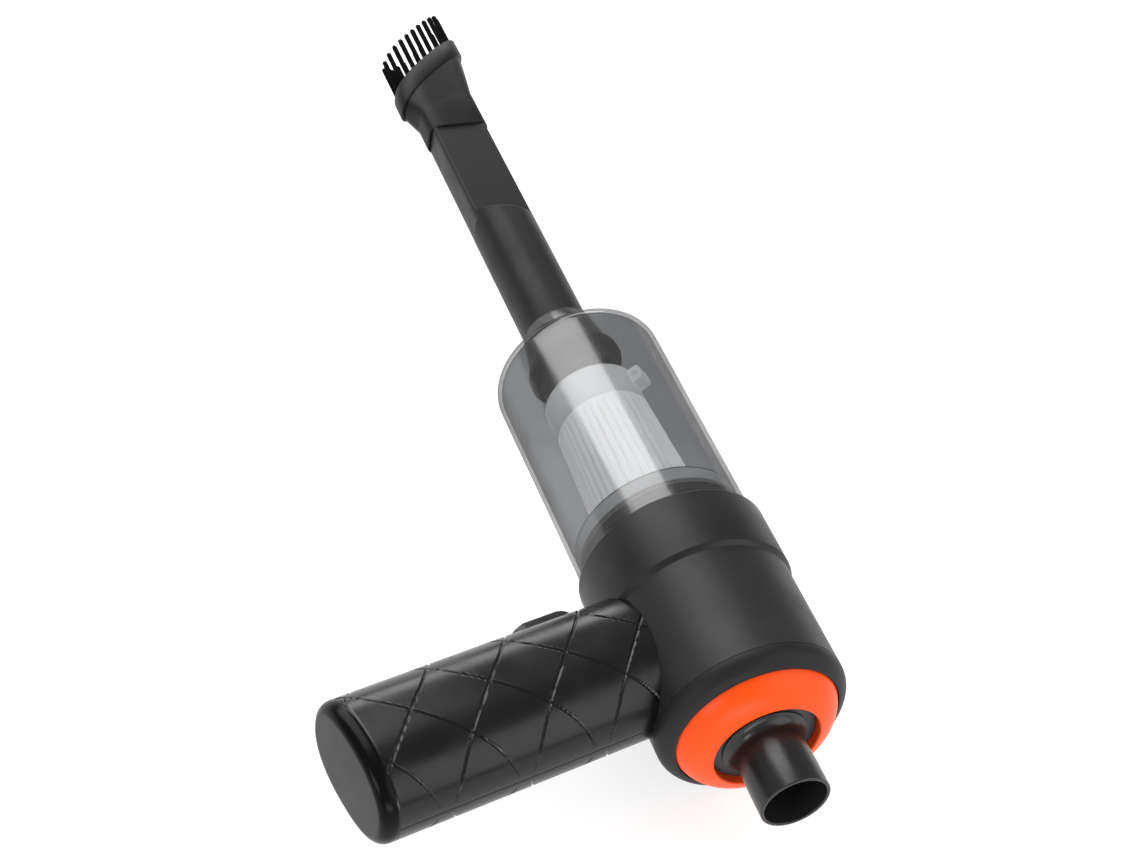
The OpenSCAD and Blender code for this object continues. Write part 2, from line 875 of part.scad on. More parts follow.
module battery_cell(side) {
    color("#2f6fa8") place() on_handle() {
        translate([side * cell_u, cell_s, 0])
            rotate([-90, 0, 0]) {
                cylinder(r = cell_r, h = cell_len - 0.8);
                cylinder(r = 3.2, h = cell_len, $fn = 48);
            }
    }
}

module battery_cell_1() {
    battery_cell(-1);
}

module battery_cell_2() {
    battery_cell(1);
}

module battery_tray() {
    color("#3b3c3f") place() on_handle() difference() {
        translate([-2 * cell_r - 0.2, cell_s + 6, -13.2])
            cube([4 * cell_r + 0.4, cell_len - 12, 9]);
        for (side = [-1, 1])
            translate([side * cell_u, cell_s, 0])
                rotate([-90, 0, 0])
                    cylinder(r = cell_r + 0.05, h = cell_len);
        // Room for the shell's screw posts
        for (s = screw_s, u = [-screw_u, screw_u])
            translate([u, s, -20])
                cylinder(r = 2.6, h = 30, $fn = 40);
        // Chamfers that follow the shell
        for (side = [-1, 1])
            translate([side * 2 * cell_r, cell_s, -13.2])
                rotate([0, 45, 0])
                    cube([7, 3 * cell_len, 7], center = true);
    }
}

module cell_links() {
    color("#c4c7c9") place() on_handle() {
        translate([-cell_u - 4, cell_s + cell_len, -3])
            cube([2 * cell_u + 8, 0.3, 6]);
        for (side = [-1, 1])
            translate([side * cell_u - 4, cell_s - 0.3, -3])
                cube([8, 0.3, 6]);
    }
}

module battery_leads() {
    color("#b3261e") place() on_handle()
        for (path = battery_lead_paths)
            wire(path, 0.8);
}

// ---- power button ----

module power_button() {
    base_u = flange_u + 1.8;
    crown = grip_a + button_proud;
    rise = button_proud - 0.3;
    dome_r = (button_l * button_l + rise * rise) / (2 * rise);
    color("#19191b") place() on_handle() {
        intersection() {
            translate([base_u, button_s, 0])
                rotate([0, 90, 0])
                    linear_extrude(height = 12)
                        rotate([0, 0, 90])
                            slot_outline(button_l, button_w);
            translate([crown - dome_r, button_s, 0])
                sphere(r = dome_r, $fn = 128);
        }
        // Flange that keeps the button in the shell, cut short where the battery lies
        difference() {
            translate([flange_u, button_s, 0])
                rotate([0, 90, 0])
                    linear_extrude(height = 1.2)
                        rotate([0, 0, 90])
                            slot_outline(button_l + 1.2, button_w + 1.2);
            translate([flange_u - 1, cell_s - 1, -20])
                cube([4, 20, 40]);
        }
        translate([flange_u, button_s - 6, -5])
            cube([base_u - flange_u, 12, 10]);
    }
}

module button_spring() {
    turns = 3.5;
    coil_r = 2.9;
    wire_r = 0.3;
    steps = 14 * turns;
    low = switch_u + wire_r;
    high = flange_u - wire_r;
    color("#c9ccd0") place() on_handle()
        wire([for (i = [0 : steps])
            [low + (high - low) * i / steps,
             button_s + coil_r * cos(360 * turns * i / steps),
             coil_r * sin(360 * turns * i / steps)]], wire_r);
}

// ---- crevice tool and brush ----

// Side view of the flat part: it tapers from radius r to half, starting back before flat_start.
module flat_side(half, r, back) {
    polygon([[100, r + 1], [flat_start - back, r + 1], [flat_end - back, half], [400, half],
             [400, -half], [flat_end - back, -half], [flat_start - back, -r - 1], [100, -r - 1]]);
}

// Everything inside the round tube that the flat part keeps.
module flat_cutter(half_y, half_z, r, back) {
    intersection() {
        translate([0, 0, -40])
            linear_extrude(height = 80)
                flat_side(half_y, r, back);
        translate([flat_end, 0, 0])
            rotate([0, 0, -flat_slant])
                rotate([90, 0, 0])
                    translate([-flat_end, 0, -80])
                        linear_extrude(height = 160)
                            flat_side(half_z, r, back);
    }
}

module crevice_tool() {
    bore = tool_r - tool_wall;
    color("#1b1b1c") place() difference() {
        intersection() {
            rod_x(tool_r, tube_stop + gap, tool_end);
            flat_cutter(flat_y, flat_z, tool_r, 0);
        }
        intersection() {
            rod_x(bore, tube_stop - 1, tool_end + 1);
            flat_cutter(flat_y - tool_wall, flat_z - tool_wall, tool_r, tool_wall);
        }
    }
}

// A thin slanted slice of the brush, across the tool at x.
module brush_slice(x, a, b, n, tilt) {
    multmatrix([[1, -tilt, 0, x], [0, 1, 0, 0], [0, 0, 1, 0]])
        along_barrel(0, 0.2)
            polygon(oval(a, b, n, 48));
}

module brush_collar() {
    rim_back = rim_x - rim_len;
    wall = 1.6;
    sleeve_y = flat_y + 1.0 + gap;
    sleeve_z = flat_z + 0.9 + gap;
    color("#1b1b1c") place() difference() {
        union() {
            hull() {
                brush_slice(sleeve_x, sleeve_y, sleeve_z, 4, 0);
                brush_slice(sleeve_x + 18, sleeve_y, sleeve_z, 4, slant_t * 0.5);
            }
            hull() {
                brush_slice(sleeve_x + 18, sleeve_y, sleeve_z, 4, slant_t * 0.5);
                brush_slice(rim_back - 0.2, rim_y - 1.5, rim_z - 0.6, rim_n, slant_t);
            }
            hull() {
                brush_slice(rim_back - 0.2, rim_y - 0.4, rim_z - 0.4, rim_n, slant_t);
                brush_slice(rim_back + 1, rim_y, rim_z, rim_n, slant_t);
                brush_slice(rim_x - 0.2, rim_y, rim_z, rim_n, slant_t);
            }
        }
        // Socket for the tool
        along_barrel(sleeve_x - 1, tool_end + gap)
            intersection() {
                square([2 * (flat_y + gap), 2 * (flat_z + gap)], center = true);
                circle(r = tool_r + gap);
            }
        // Air way from the tool to the open front
        hull() {
            brush_slice(sleeve_x + 20, flat_y - wall, flat_z - wall, 4, slant_t * 0.5);
            brush_slice(rim_x, rim_y - 2 * tuft_in - wall, rim_z - 2 * tuft_in, rim_n, slant_t);
        }
        hull() {
            brush_slice(rim_x - 1, rim_y - 2 * tuft_in - wall, rim_z - 2 * tuft_in, rim_n, slant_t);
            brush_slice(rim_x + 1, rim_y - 2 * tuft_in - wall, rim_z - 2 * tuft_in, rim_n, slant_t);
        }
    }
}

module brush_tufts() {
    root = 5;
    color("#0e0e0e") place()
        for (p = tuft_at)
            translate([0, p[0], p[1]])
                rod_x(tuft_r, rim_x - slant_t * p[0] - root, rim_x - slant_t * p[0] + bristle_len);
}

motor_housing();
front_band();
rear_collar();
orange_ring();
outlet_disc();
intake_deck();
cup_seal();
fan_shroud();
motor_bracket();
fan_screws();
motor_screws();
motor_can();
motor_magnets();
motor_end_bell();
front_bush();
rear_bush();
carbon_brushes();
motor_terminals();
suppression_capacitor();
rear_damper();
motor_cradle();
motor_leads();
handle_left();
handle_right();
handle_end_cap();
handle_screws();
control_board();
power_switch();
charge_socket();
battery_cell_1();
battery_cell_2();
battery_tray();
cell_links();
battery_leads();
button_spring();
motor_shaft();
armature();
commutator();
impeller();
impeller_nut();
power_button();
switch_plunger();
dust_cup();
inlet_tube();
filter_frame();
filter_gasket();
filter_cone();
filter_cap();
crevice_tool();
brush_collar();
brush_tufts();
blower_nozzle();
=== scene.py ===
"""Looks of the handheld vacuum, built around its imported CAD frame.

Outlines are in millimetres about the barrel's axis: X runs forward along the barrel, Y out along
the handle and Z up through the left side, with the origin where the two axes cross.
Handle shapes use its own axes: s out along it, u to its front and w up through its left side.
"""

import math

import bmesh
import bpy
import numpy as np
from mathutils import Matrix, Vector


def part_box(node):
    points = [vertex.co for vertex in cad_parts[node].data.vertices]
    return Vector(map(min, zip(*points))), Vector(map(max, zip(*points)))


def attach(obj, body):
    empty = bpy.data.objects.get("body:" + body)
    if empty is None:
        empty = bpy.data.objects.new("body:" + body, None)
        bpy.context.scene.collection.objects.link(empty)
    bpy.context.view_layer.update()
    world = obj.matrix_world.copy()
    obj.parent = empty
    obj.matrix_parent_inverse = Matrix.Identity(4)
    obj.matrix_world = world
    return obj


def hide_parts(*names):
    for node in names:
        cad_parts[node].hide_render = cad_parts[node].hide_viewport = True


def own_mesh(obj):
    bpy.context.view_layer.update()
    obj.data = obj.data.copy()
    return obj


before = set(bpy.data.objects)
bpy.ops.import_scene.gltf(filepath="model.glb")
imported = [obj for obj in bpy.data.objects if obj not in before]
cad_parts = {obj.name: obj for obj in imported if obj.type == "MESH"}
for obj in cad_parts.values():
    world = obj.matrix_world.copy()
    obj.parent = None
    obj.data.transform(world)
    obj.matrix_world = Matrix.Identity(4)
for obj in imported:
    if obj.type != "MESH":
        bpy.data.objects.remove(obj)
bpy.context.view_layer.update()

# ---- sizes, in millimetres ----

MM = 0.001
GAP = 0.3              # air between pieces that move past each other
RUN = 0.05             # radial clearance of a running fit
BODY_R = 34.3
BODY_BACK = -33.3
HOUSING_IN = 31.9      # inside of the housing
COLLAR_BORE = 30.3
COLLAR_FRONT = -28.0   # front end of the collar's spigot, inside the housing
COLLAR_WEB_R = 28.0    # bore of the collar's web, in front of the orange ring
STEP_X = 10.3          # rear edge of the front band
STEP_LEN = 1.8         # length of the slope there
BAND_R = 35.6
BAND_X = 37.6          # front face of the front band
NECK_R = 33.0          # housing under the band
RING_X = -38.5         # front face of the orange ring
RING_BACK = -48.7
RING_R = 29.2
RING_WALL = 1.8
RING_BOW = 1.6         # how far the ring's face bows out
DISC_X = -46.0         # rear face of the outlet disc
DISC_R = 18.7
DISC_FLANGE_X = -43.9  # rear face of the disc's flange, which the ring holds
DISC_FLANGE_R = DISC_R + 1.5
DISC_FRONT = -42.4
SLEEVE_R = 14.0        # outside of the sleeve that the nozzle plugs into
SLEEVE_BORE = 12.45
SLEEVE_FRONT = -30.0
NOZZLE_FRONT = -34.0
NOZZLE_TIP = -71.8
NOZZLE_R = 12.3
NOZZLE_BORE = 11.0
CUP_R = 33.0
CUP_WALL = 1.6
CUP_BACK = 37.9
CUP_FRONT = 140.0
CUP_ROUND = 8.0
NECK_X = 158.0
NECK_BORE = 13.25
NECK_ROOT_R = 17.7
NECK_TIP_R = 14.2
TUBE_R = 15.6
TUBE_WALL = 1.6
TUBE_FLANGE = 3.0
TUBE_STOP = 147.0      # inner end of the tool in the neck
TUBE_CUT = (130.0, 122.6)   # the tube's slanted inner end, at its shortest and longest
FRAME_X = 46.4         # rear face of the filter's frame
FRAME_FRONT = 52.0
FRAME_BORE = 16.0
FRAME_TAB_R = (22.3, 24.2)
PLEATS = 40
PLEAT_DEPTH = 1.0
CONE_X = 50.0
CONE_R1 = 20.6
CAP_X1 = 105.0
CAP_X2 = 121.0
CONE_R2 = 18.5
CAP_TAB_TURN = math.radians(50)   # side tab's place about the axis, up and away from the handle
CAP_TAB_R = (17.0, 23.0)
CAP_TAB_X = (112.0, 118.5)
TOOL_R = 13.2
TOOL_WALL = 1.5
FLAT_START = 223.0
FLAT_END = 227.0
FLAT_SLANT = math.tan(math.radians(17))   # slant of the crease where the broad faces start
FLAT_Y = 12.1
FLAT_Z = 6.9
TOOL_END = 312.0
SLEEVE_X = 286.6       # rear edge of the brush's sleeve
RIM_X = 335.2          # front plane of the brush's rim, on the axis
RIM_LEN = 12.0
RIM_Y = 19.0
RIM_Z = 10.0
RIM_N = 2.6
SLEEVE_N = 4           # squareness of the brush's sleeve; its bore has twice that
SLANT = math.tan(math.radians(41))
TUFTS = 22
TUFT_IN = 2.4          # tuft centres, inside the rim's outline
TUFT_R = 1.0
BRISTLE_OUT = 22.0
BRISTLE_ROOT = 5.0
LEAN = math.radians(10.9)
GRIP_A = 25.3
GRIP_B = 18.65
GRIP_N = 2.3
GRIP_WALL = 2.2
CAP_S = 134.3          # where the end cap meets the shells
GRIP_END = 139.8
END_BEVEL = 4.5
END_INSET = 3.6
BUTTON_S = 54.0
BUTTON_L = 13.5
BUTTON_W = 7.0
BUTTON_CROWN = 28.6
BUTTON_BASE = 20.6
FLANGE_U = 18.8        # underside of the button's flange
FLANGE_END = 64.5      # where the flange is cut short
SWITCH_U = 15.6        # top of the switch's case
SCREW_U = 20.9
SCREW_S = (76.0, 122.0)
SCREW_FLOOR = -7.5     # bottom of the screws' counterbores
CHARGE_U = 11.2
GROOVE_PITCH = 28.6
GROOVE_S = 31.6        # where two grooves cross, GROOVE_T round from the front seam
GROOVE_T = 33.1
GROOVE_SLOPE = 0.97
GROOVE_DEEP = 0.42
GROOVE_HALF = 0.45     # half its width
GROOVE_EASE = 8.4      # straight run on each side of the crown
GROOVE_BEND = 24.0     # run over which a groove's slope falls by GROOVE_FALL
GROOVE_FALL = 0.67
PARTING_DEEP = 0.22
PARTING_WIDE = 0.45

SHARP = math.radians(32)   # edges sharper than this are shaded as creases
ROUND_STEPS = 192

cup_low, cup_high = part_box("dust_cup")
band_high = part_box("front_band")[1]
ORIGIN = np.array([
    band_high.x - BAND_X * MM, (cup_low.y + cup_high.y) / 2, (cup_low.z + cup_high.z) / 2])


# ---- shapes ----

def arc(cx, cy, radius, start, end, steps=10):
    """Points of an arc about (cx, cy), with its angles in degrees."""
    angles = np.radians(np.linspace(start, end, steps + 1))
    return [(cx + radius * math.cos(a), cy + radius * math.sin(a)) for a in angles]


def rounded(outline, steps=4):
    """A closed outline of (x, y) or (x, y, radius), with an arc at each corner that has a radius."""
    made = []
    count = len(outline)
    for i, corner in enumerate(outline):
        here = np.array(corner[:2], float)
        if len(corner) < 3:
            made.append(here)
            continue
        back = np.array(outline[i - 1][:2], float) - here
        ahead = np.array(outline[(i + 1) % count][:2], float) - here
        room = 0.49 * min(np.linalg.norm(back), np.linalg.norm(ahead))
        back /= np.linalg.norm(back)
        ahead /= np.linalg.norm(ahead)
        half = math.acos(np.clip(back @ ahead, -1, 1)) / 2
        reach = min(corner[2] / math.tan(half), room)
        radius = reach * math.tan(half)
        middle = (back + ahead) / np.linalg.norm(back + ahead)
        centre = here + middle * radius / math.sin(half)
        first = here + back * reach - centre
        last = here + ahead * reach - centre
        start = math.atan2(first[1], first[0])
        sweep = (math.atan2(last[1], last[0]) - start + math.pi) % (2 * math.pi) - math.pi
        for k in range(steps + 1):
            a = start + sweep * k / steps
            made.append(centre + radius * np.array([math.cos(a), math.sin(a)]))
    return np.array(made)


def power(v, n):
    """v to the power n, keeping its sign."""
    return np.sign(v) * np.abs(v) ** n


def evenly(line, count, closed):
    """count points spaced evenly along a fine line."""
    if closed:
        line = np.vstack([line, line[:1]])
    run = np.concatenate([[0], np.cumsum(np.linalg.norm(np.diff(line, axis=0), axis=1))])
    want = np.linspace(0, run[-1], count + 1)[:-1] if closed else np.linspace(0, run[-1], count)
    return np.stack([np.interp(want, run, line[:, k]) for k in range(line.shape[1])], 1)


def oval(a, b, n, count, end=360.0):
    """Points spaced evenly round a superellipse, from its +a end to the angle end."""
    t = np.radians(np.linspace(0, end, 4001))
    if end == 360.0:
        t = t[:-1]
    line = np.stack([a * power(np.cos(t), 2 / n), b * power(np.sin(t), 2 / n)], 1)
    return evenly(line, count, end == 360.0)


def grid(rows, cols, wrap_rows, wrap_cols):
    """Quads over rows of cols points."""
    r = np.arange(rows if wrap_rows else rows - 1)[:, None]
    c = np.arange(cols if wrap_cols else cols - 1)[None, :]
    r2, c2 = (r + 1) % rows, (c + 1) % cols
    quads = np.stack([r * cols + c, r * cols + c2, r2 * cols + c2, r2 * cols + c], -1)
    return quads.reshape(-1, 4).tolist()


def turned(outline, count=ROUND_STEPS):
    """A closed outline (x, radius) turned about the barrel's axis."""
    line = np.array(outline, float)[:, None, :]
    turn = np.linspace(0, 2 * math.pi, count, endpoint=False)[None, :]
    x = np.repeat(line[..., 0], count, 1)
    points = np.stack([x, line[..., 1] * np.cos(turn), line[..., 1] * np.sin(turn)], -1)
    return points.reshape(-1, 3), grid(len(outline), count, True, True)


def lofted(rings, closed):
    """A skin over rings of equal count; closed joins last to first, and open ends get a face."""
    rings = np.array(rings, float)
    faces = grid(rings.shape[0], rings.shape[1], closed, True)
    if not closed:
        count = rings.shape[1]
        faces.append(list(range(count)))
        faces.append(list(range(len(rings) * count - count, len(rings) * count)))
    return rings.reshape(-1, 3), faces


def handle_points(s, u, w):
    """Handle coordinates as points about the barrel's axis."""
    x = u * math.cos(LEAN) - s * math.sin(LEAN)
    y = s * math.cos(LEAN) + u * math.sin(LEAN)
    return np.stack([x, y, w], -1)


def joined(parts):
    """Several (points, faces) as one."""
    points, faces, count = [], [], 0
    for more, quads in parts:
        points.append(np.asarray(more, float))
        faces += [[i + count for i in f] for f in quads]
        count += len(more)
    return np.concatenate(points), faces


def tube(path, radius, sides=10):
    """A round wire along a path, with closed ends."""
    path = np.array(path, float)
    ahead = np.gradient(path, axis=0)
    ahead /= np.linalg.norm(ahead, axis=1)[:, None]
    side = np.cross(ahead, [0.05, 0.1, 1.0])
    side /= np.linalg.norm(side, axis=1)[:, None]
    up = np.cross(ahead, side)
    turn = np.linspace(0, 2 * math.pi, sides, endpoint=False)
    rings = path[:, None] + radius * (
        np.cos(turn)[None, :, None] * side[:, None] + np.sin(turn)[None, :, None] * up[:, None])
    return lofted(rings, False)


def mesh_object(name, shape):
    """An object in metres in the CAD's frame, from points in millimetres about the barrel."""
    points, faces = shape
    mesh = bpy.data.meshes.new(name)
    mesh.from_pydata((np.asarray(points) * MM + ORIGIN).tolist(), [], faces)
    made = bpy.data.objects.new(name, mesh)
    bpy.context.scene.collection.objects.link(made)
    return made


def soften(mesh):
    """Outward faces, shaded smooth except across edges sharper than SHARP."""
    bm = bmesh.new()
    bm.from_mesh(mesh)
    bmesh.ops.remove_doubles(bm, verts=bm.verts, dist=1e-7)
    bmesh.ops.recalc_face_normals(bm, faces=bm.faces)
    for face in bm.faces:
        face.smooth = True
    for edge in bm.edges:
        edge.smooth = len(edge.link_faces) == 2 and edge.calc_face_angle(0) < SHARP
    bm.to_mesh(mesh)
    bm.free()


def carve(target, cutter_shape):
    """Cuts a closed shape out of target, leaving plain mesh."""
    cutter = mesh_object(target.name + "_cutter", cutter_shape)
    soften(cutter.data)
    soften(target.data)
    cut = target.modifiers.new("cut", "BOOLEAN")
    cut.operation = "DIFFERENCE"
    cut.solver = "EXACT"
    cut.object = cutter
    shown = target.evaluated_get(bpy.context.evaluated_depsgraph_get())
    result = bpy.data.meshes.new_from_object(shown)
    target.modifiers.clear()
    target.data = result
    bpy.data.objects.remove(cutter)


def piece(name, shape, look, body, *nodes, cuts=(), slot=None):
    """A finished piece that rides on a body and stands for CAD nodes.

    Its slot has its look's name; the slot argument is not used.
    """
    made = mesh_object(name, shape)
    for cutter in cuts:
        carve(made, cutter)
    soften(made.data)
    made.data.materials.clear()
    made.data.materials.append(LOOKS[look])
    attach(made, body)
    if nodes:
        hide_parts(*nodes)
    return made


# ---- materials ----

class Nodes:
    """A small helper that adds and joins shader nodes."""

    def __init__(self, name):
        self.material = bpy.data.materials.new(name)
        self.material.use_nodes = True
        self.tree = self.material.node_tree
        self.tree.nodes.clear()
        self.out = self.add("ShaderNodeOutputMaterial")
        self.where = self.add("ShaderNodeTexCoord").outputs["Object"]

    def add(self, kind, **values):
        node = self.tree.nodes.new(kind)
        for key, value in values.items():
            if key in node.inputs:
                node.inputs[key].default_value = value
            else:
                setattr(node, key, value)
        return node

    def link(self, a, b):
        self.tree.links.new(a, b)

    def noise(self, scale, detail=3.0, stretch=(1, 1, 1)):
        place = self.add("ShaderNodeMapping")
        place.inputs["Scale"].default_value = stretch
        self.link(self.where, place.inputs["Vector"])
        noise = self.add("ShaderNodeTexNoise", Scale=scale, Detail=detail)
        self.link(place.outputs["Vector"], noise.inputs["Vector"])
        return noise.outputs["Fac"]

    def ranged(self, value, low, high, start=0.3, end=0.7):
        spread = self.add("ShaderNodeMapRange")
        for key, number in zip(("From Min", "From Max", "To Min", "To Max"), (start, end, low, high)):
            spread.inputs[key].default_value = number
        self.link(value, spread.inputs["Value"])
        return spread.outputs["Result"]

    def blend(self, factor, a, b):
        mix = self.add("ShaderNodeMix", data_type="RGBA")
        for socket, value in ((mix.inputs["Factor"], factor), (mix.inputs[6], a), (mix.inputs[7], b)):
            if hasattr(value, "is_linked"):
                self.link(value, socket)
            else:
                socket.default_value = value
        return mix.outputs[2]

    def bump(self, height, depth):
        bump = self.add("ShaderNodeBump", Strength=1.0, Distance=depth)
        self.link(height, bump.inputs["Height"])
        return bump.outputs["Normal"]

    def finish(self, shader):
        self.link(shader, self.out.inputs["Surface"])
        return self.material


def rgba(colour):
    return (*colour, 1.0)


def tinted(colour, factor):
    return rgba([c * factor for c in colour])


def plastic(name, colour, rough, grain=2600, depth=0.00002, mottle=0.12, ior=1.3, wear=0.0):
    """Moulded plastic: fine grain, slight mottling, and lighter worn edges if wear is given."""
    n = Nodes(name)
    shader = n.add("ShaderNodeBsdfPrincipled")
    shader.inputs["IOR"].default_value = ior
    patches = n.ranged(n.noise(45, 4), 0, 1)
    base = n.blend(patches, tinted(colour, 1 - mottle), tinted(colour, 1 + mottle))
    if wear:
        edge = n.ranged(n.add("ShaderNodeNewGeometry").outputs["Pointiness"], 0, wear, 0.52, 0.62)
        base = n.blend(edge, base, tinted(colour, 2.5))
    n.link(base, shader.inputs["Base Color"])
    n.link(n.ranged(n.noise(70, 5), rough - 0.05, rough + 0.05), shader.inputs["Roughness"])
    n.link(n.bump(n.noise(grain, 2), depth), shader.inputs["Normal"])
    return n.finish(shader.outputs["BSDF"])


def metal(name, colour, rough, stretch=(1, 12, 12)):
    """Plated, ground or brushed metal with fine lines across its stretch."""
    n = Nodes(name)
    shader = n.add("ShaderNodeBsdfPrincipled", Metallic=1.0)
    lines = n.noise(420, 4, stretch)
    patches = n.ranged(n.noise(90), 0, 1)
    n.link(n.blend(patches, tinted(colour, 0.82), rgba(colour)), shader.inputs["Base Color"])
    n.link(n.ranged(lines, rough - 0.08, rough + 0.1), shader.inputs["Roughness"])
    n.link(n.bump(lines, 0.00001), shader.inputs["Normal"])
    return n.finish(shader.outputs["BSDF"])


def clear_plastic(name, tint, lamp_tint, gloss, cloud, haze):
    """Thin clear plastic that dims what is behind it, with a slight haze and a glossy skin.

    Lamps shine through it with lamp_tint, which is above 1 where what is inside has to look pale.
    """
    n = Nodes(name)
    facing = n.add("ShaderNodeLayerWeight", Blend=0.5).outputs["Facing"]
    through = n.add("ShaderNodeBsdfTransparent")
    shade = n.blend(n.ranged(facing, 0, 1, 0.55, 0.82), rgba(tint), tinted(tint, 0.55))
    n.link(n.blend(n.ranged(n.noise(26, 4), 0, 1), shade, tinted(tint, 0.97)), through.inputs["Color"])
    hazy = n.add("ShaderNodeBsdfDiffuse", Roughness=0.5)
    hazy.inputs["Color"].default_value = rgba(haze)
    body = n.add("ShaderNodeMixShader", Fac=cloud)
    n.link(through.outputs["BSDF"], body.inputs[1])
    n.link(hazy.outputs["BSDF"], body.inputs[2])
    shine = n.add("ShaderNodeBsdfGlossy")
    n.link(n.ranged(n.noise(40, 3), gloss * 0.8, gloss * 1.3), shine.inputs["Roughness"])
    steep = n.add("ShaderNodeMath", operation="POWER")
    steep.inputs[1].default_value = 5
    n.link(facing, steep.inputs[0])
    glossy = n.add("ShaderNodeMixShader")
    n.link(n.ranged(steep.outputs[0], 0.07, 0.14, 0, 1), glossy.inputs["Fac"])
    n.link(body.outputs["Shader"], glossy.inputs[1])
    n.link(shine.outputs["BSDF"], glossy.inputs[2])
    lamp = n.add("ShaderNodeBsdfTransparent")
    lamp.inputs["Color"].default_value = rgba(lamp_tint)
    path = n.add("ShaderNodeLightPath")
    last = n.add("ShaderNodeMixShader")
    n.link(path.outputs["Is Shadow Ray"], last.inputs["Fac"])
    n.link(glossy.outputs["Shader"], last.inputs[1])
    n.link(lamp.outputs["BSDF"], last.inputs[2])
    return n.finish(last.outputs["Shader"])


def fleece(name, colour):
    """Pleated filter fleece with fine matted fibres."""
    n = Nodes(name)
    shader = n.add("ShaderNodeBsdfPrincipled")
    shader.inputs["Sheen Weight"].default_value = 0.8
    shader.inputs["Roughness"].default_value = 0.9
    fibre = n.noise(2400, 5, (0.35, 1, 1))
    shade = n.blend(n.ranged(fibre, 0, 1), tinted(colour, 0.95), rgba(colour))
    n.link(shade, shader.inputs["Base Color"])
    n.link(n.bump(fibre, 0.00003), shader.inputs["Normal"])
    return n.finish(shader.outputs["BSDF"])


def windings(name, copper, steel):
    """Enamelled copper between dark laminations, in fine turns along the axis."""
    n = Nodes(name)
    shader = n.add("ShaderNodeBsdfPrincipled", Metallic=0.9, Roughness=0.35)
    turns = n.add("ShaderNodeTexWave", Scale=900, Distortion=0.6, Detail=1)
    n.link(n.where, turns.inputs["Vector"])
    n.link(n.blend(turns.outputs["Fac"], rgba(steel), rgba(copper)), shader.inputs["Base Color"])
    n.link(n.bump(turns.outputs["Fac"], 0.00012), shader.inputs["Normal"])
    return n.finish(shader.outputs["BSDF"])


def circuit(name, colour):
    """Green solder mask with faint copper tracks under it."""
    n = Nodes(name)
    shader = n.add("ShaderNodeBsdfPrincipled", Roughness=0.3)
    tracks = n.add("ShaderNodeTexBrick", Scale=320)
    tracks.inputs["Color1"].default_value = rgba(colour)
    tracks.inputs["Color2"].default_value = tinted(colour, 1.25)
    tracks.inputs["Mortar"].default_value = tinted(colour, 0.6)
    n.link(n.where, tracks.inputs["Vector"])
    n.link(tracks.outputs["Color"], shader.inputs["Base Color"])
    n.link(n.bump(tracks.outputs["Fac"], 0.00003), shader.inputs["Normal"])
    return n.finish(shader.outputs["BSDF"])


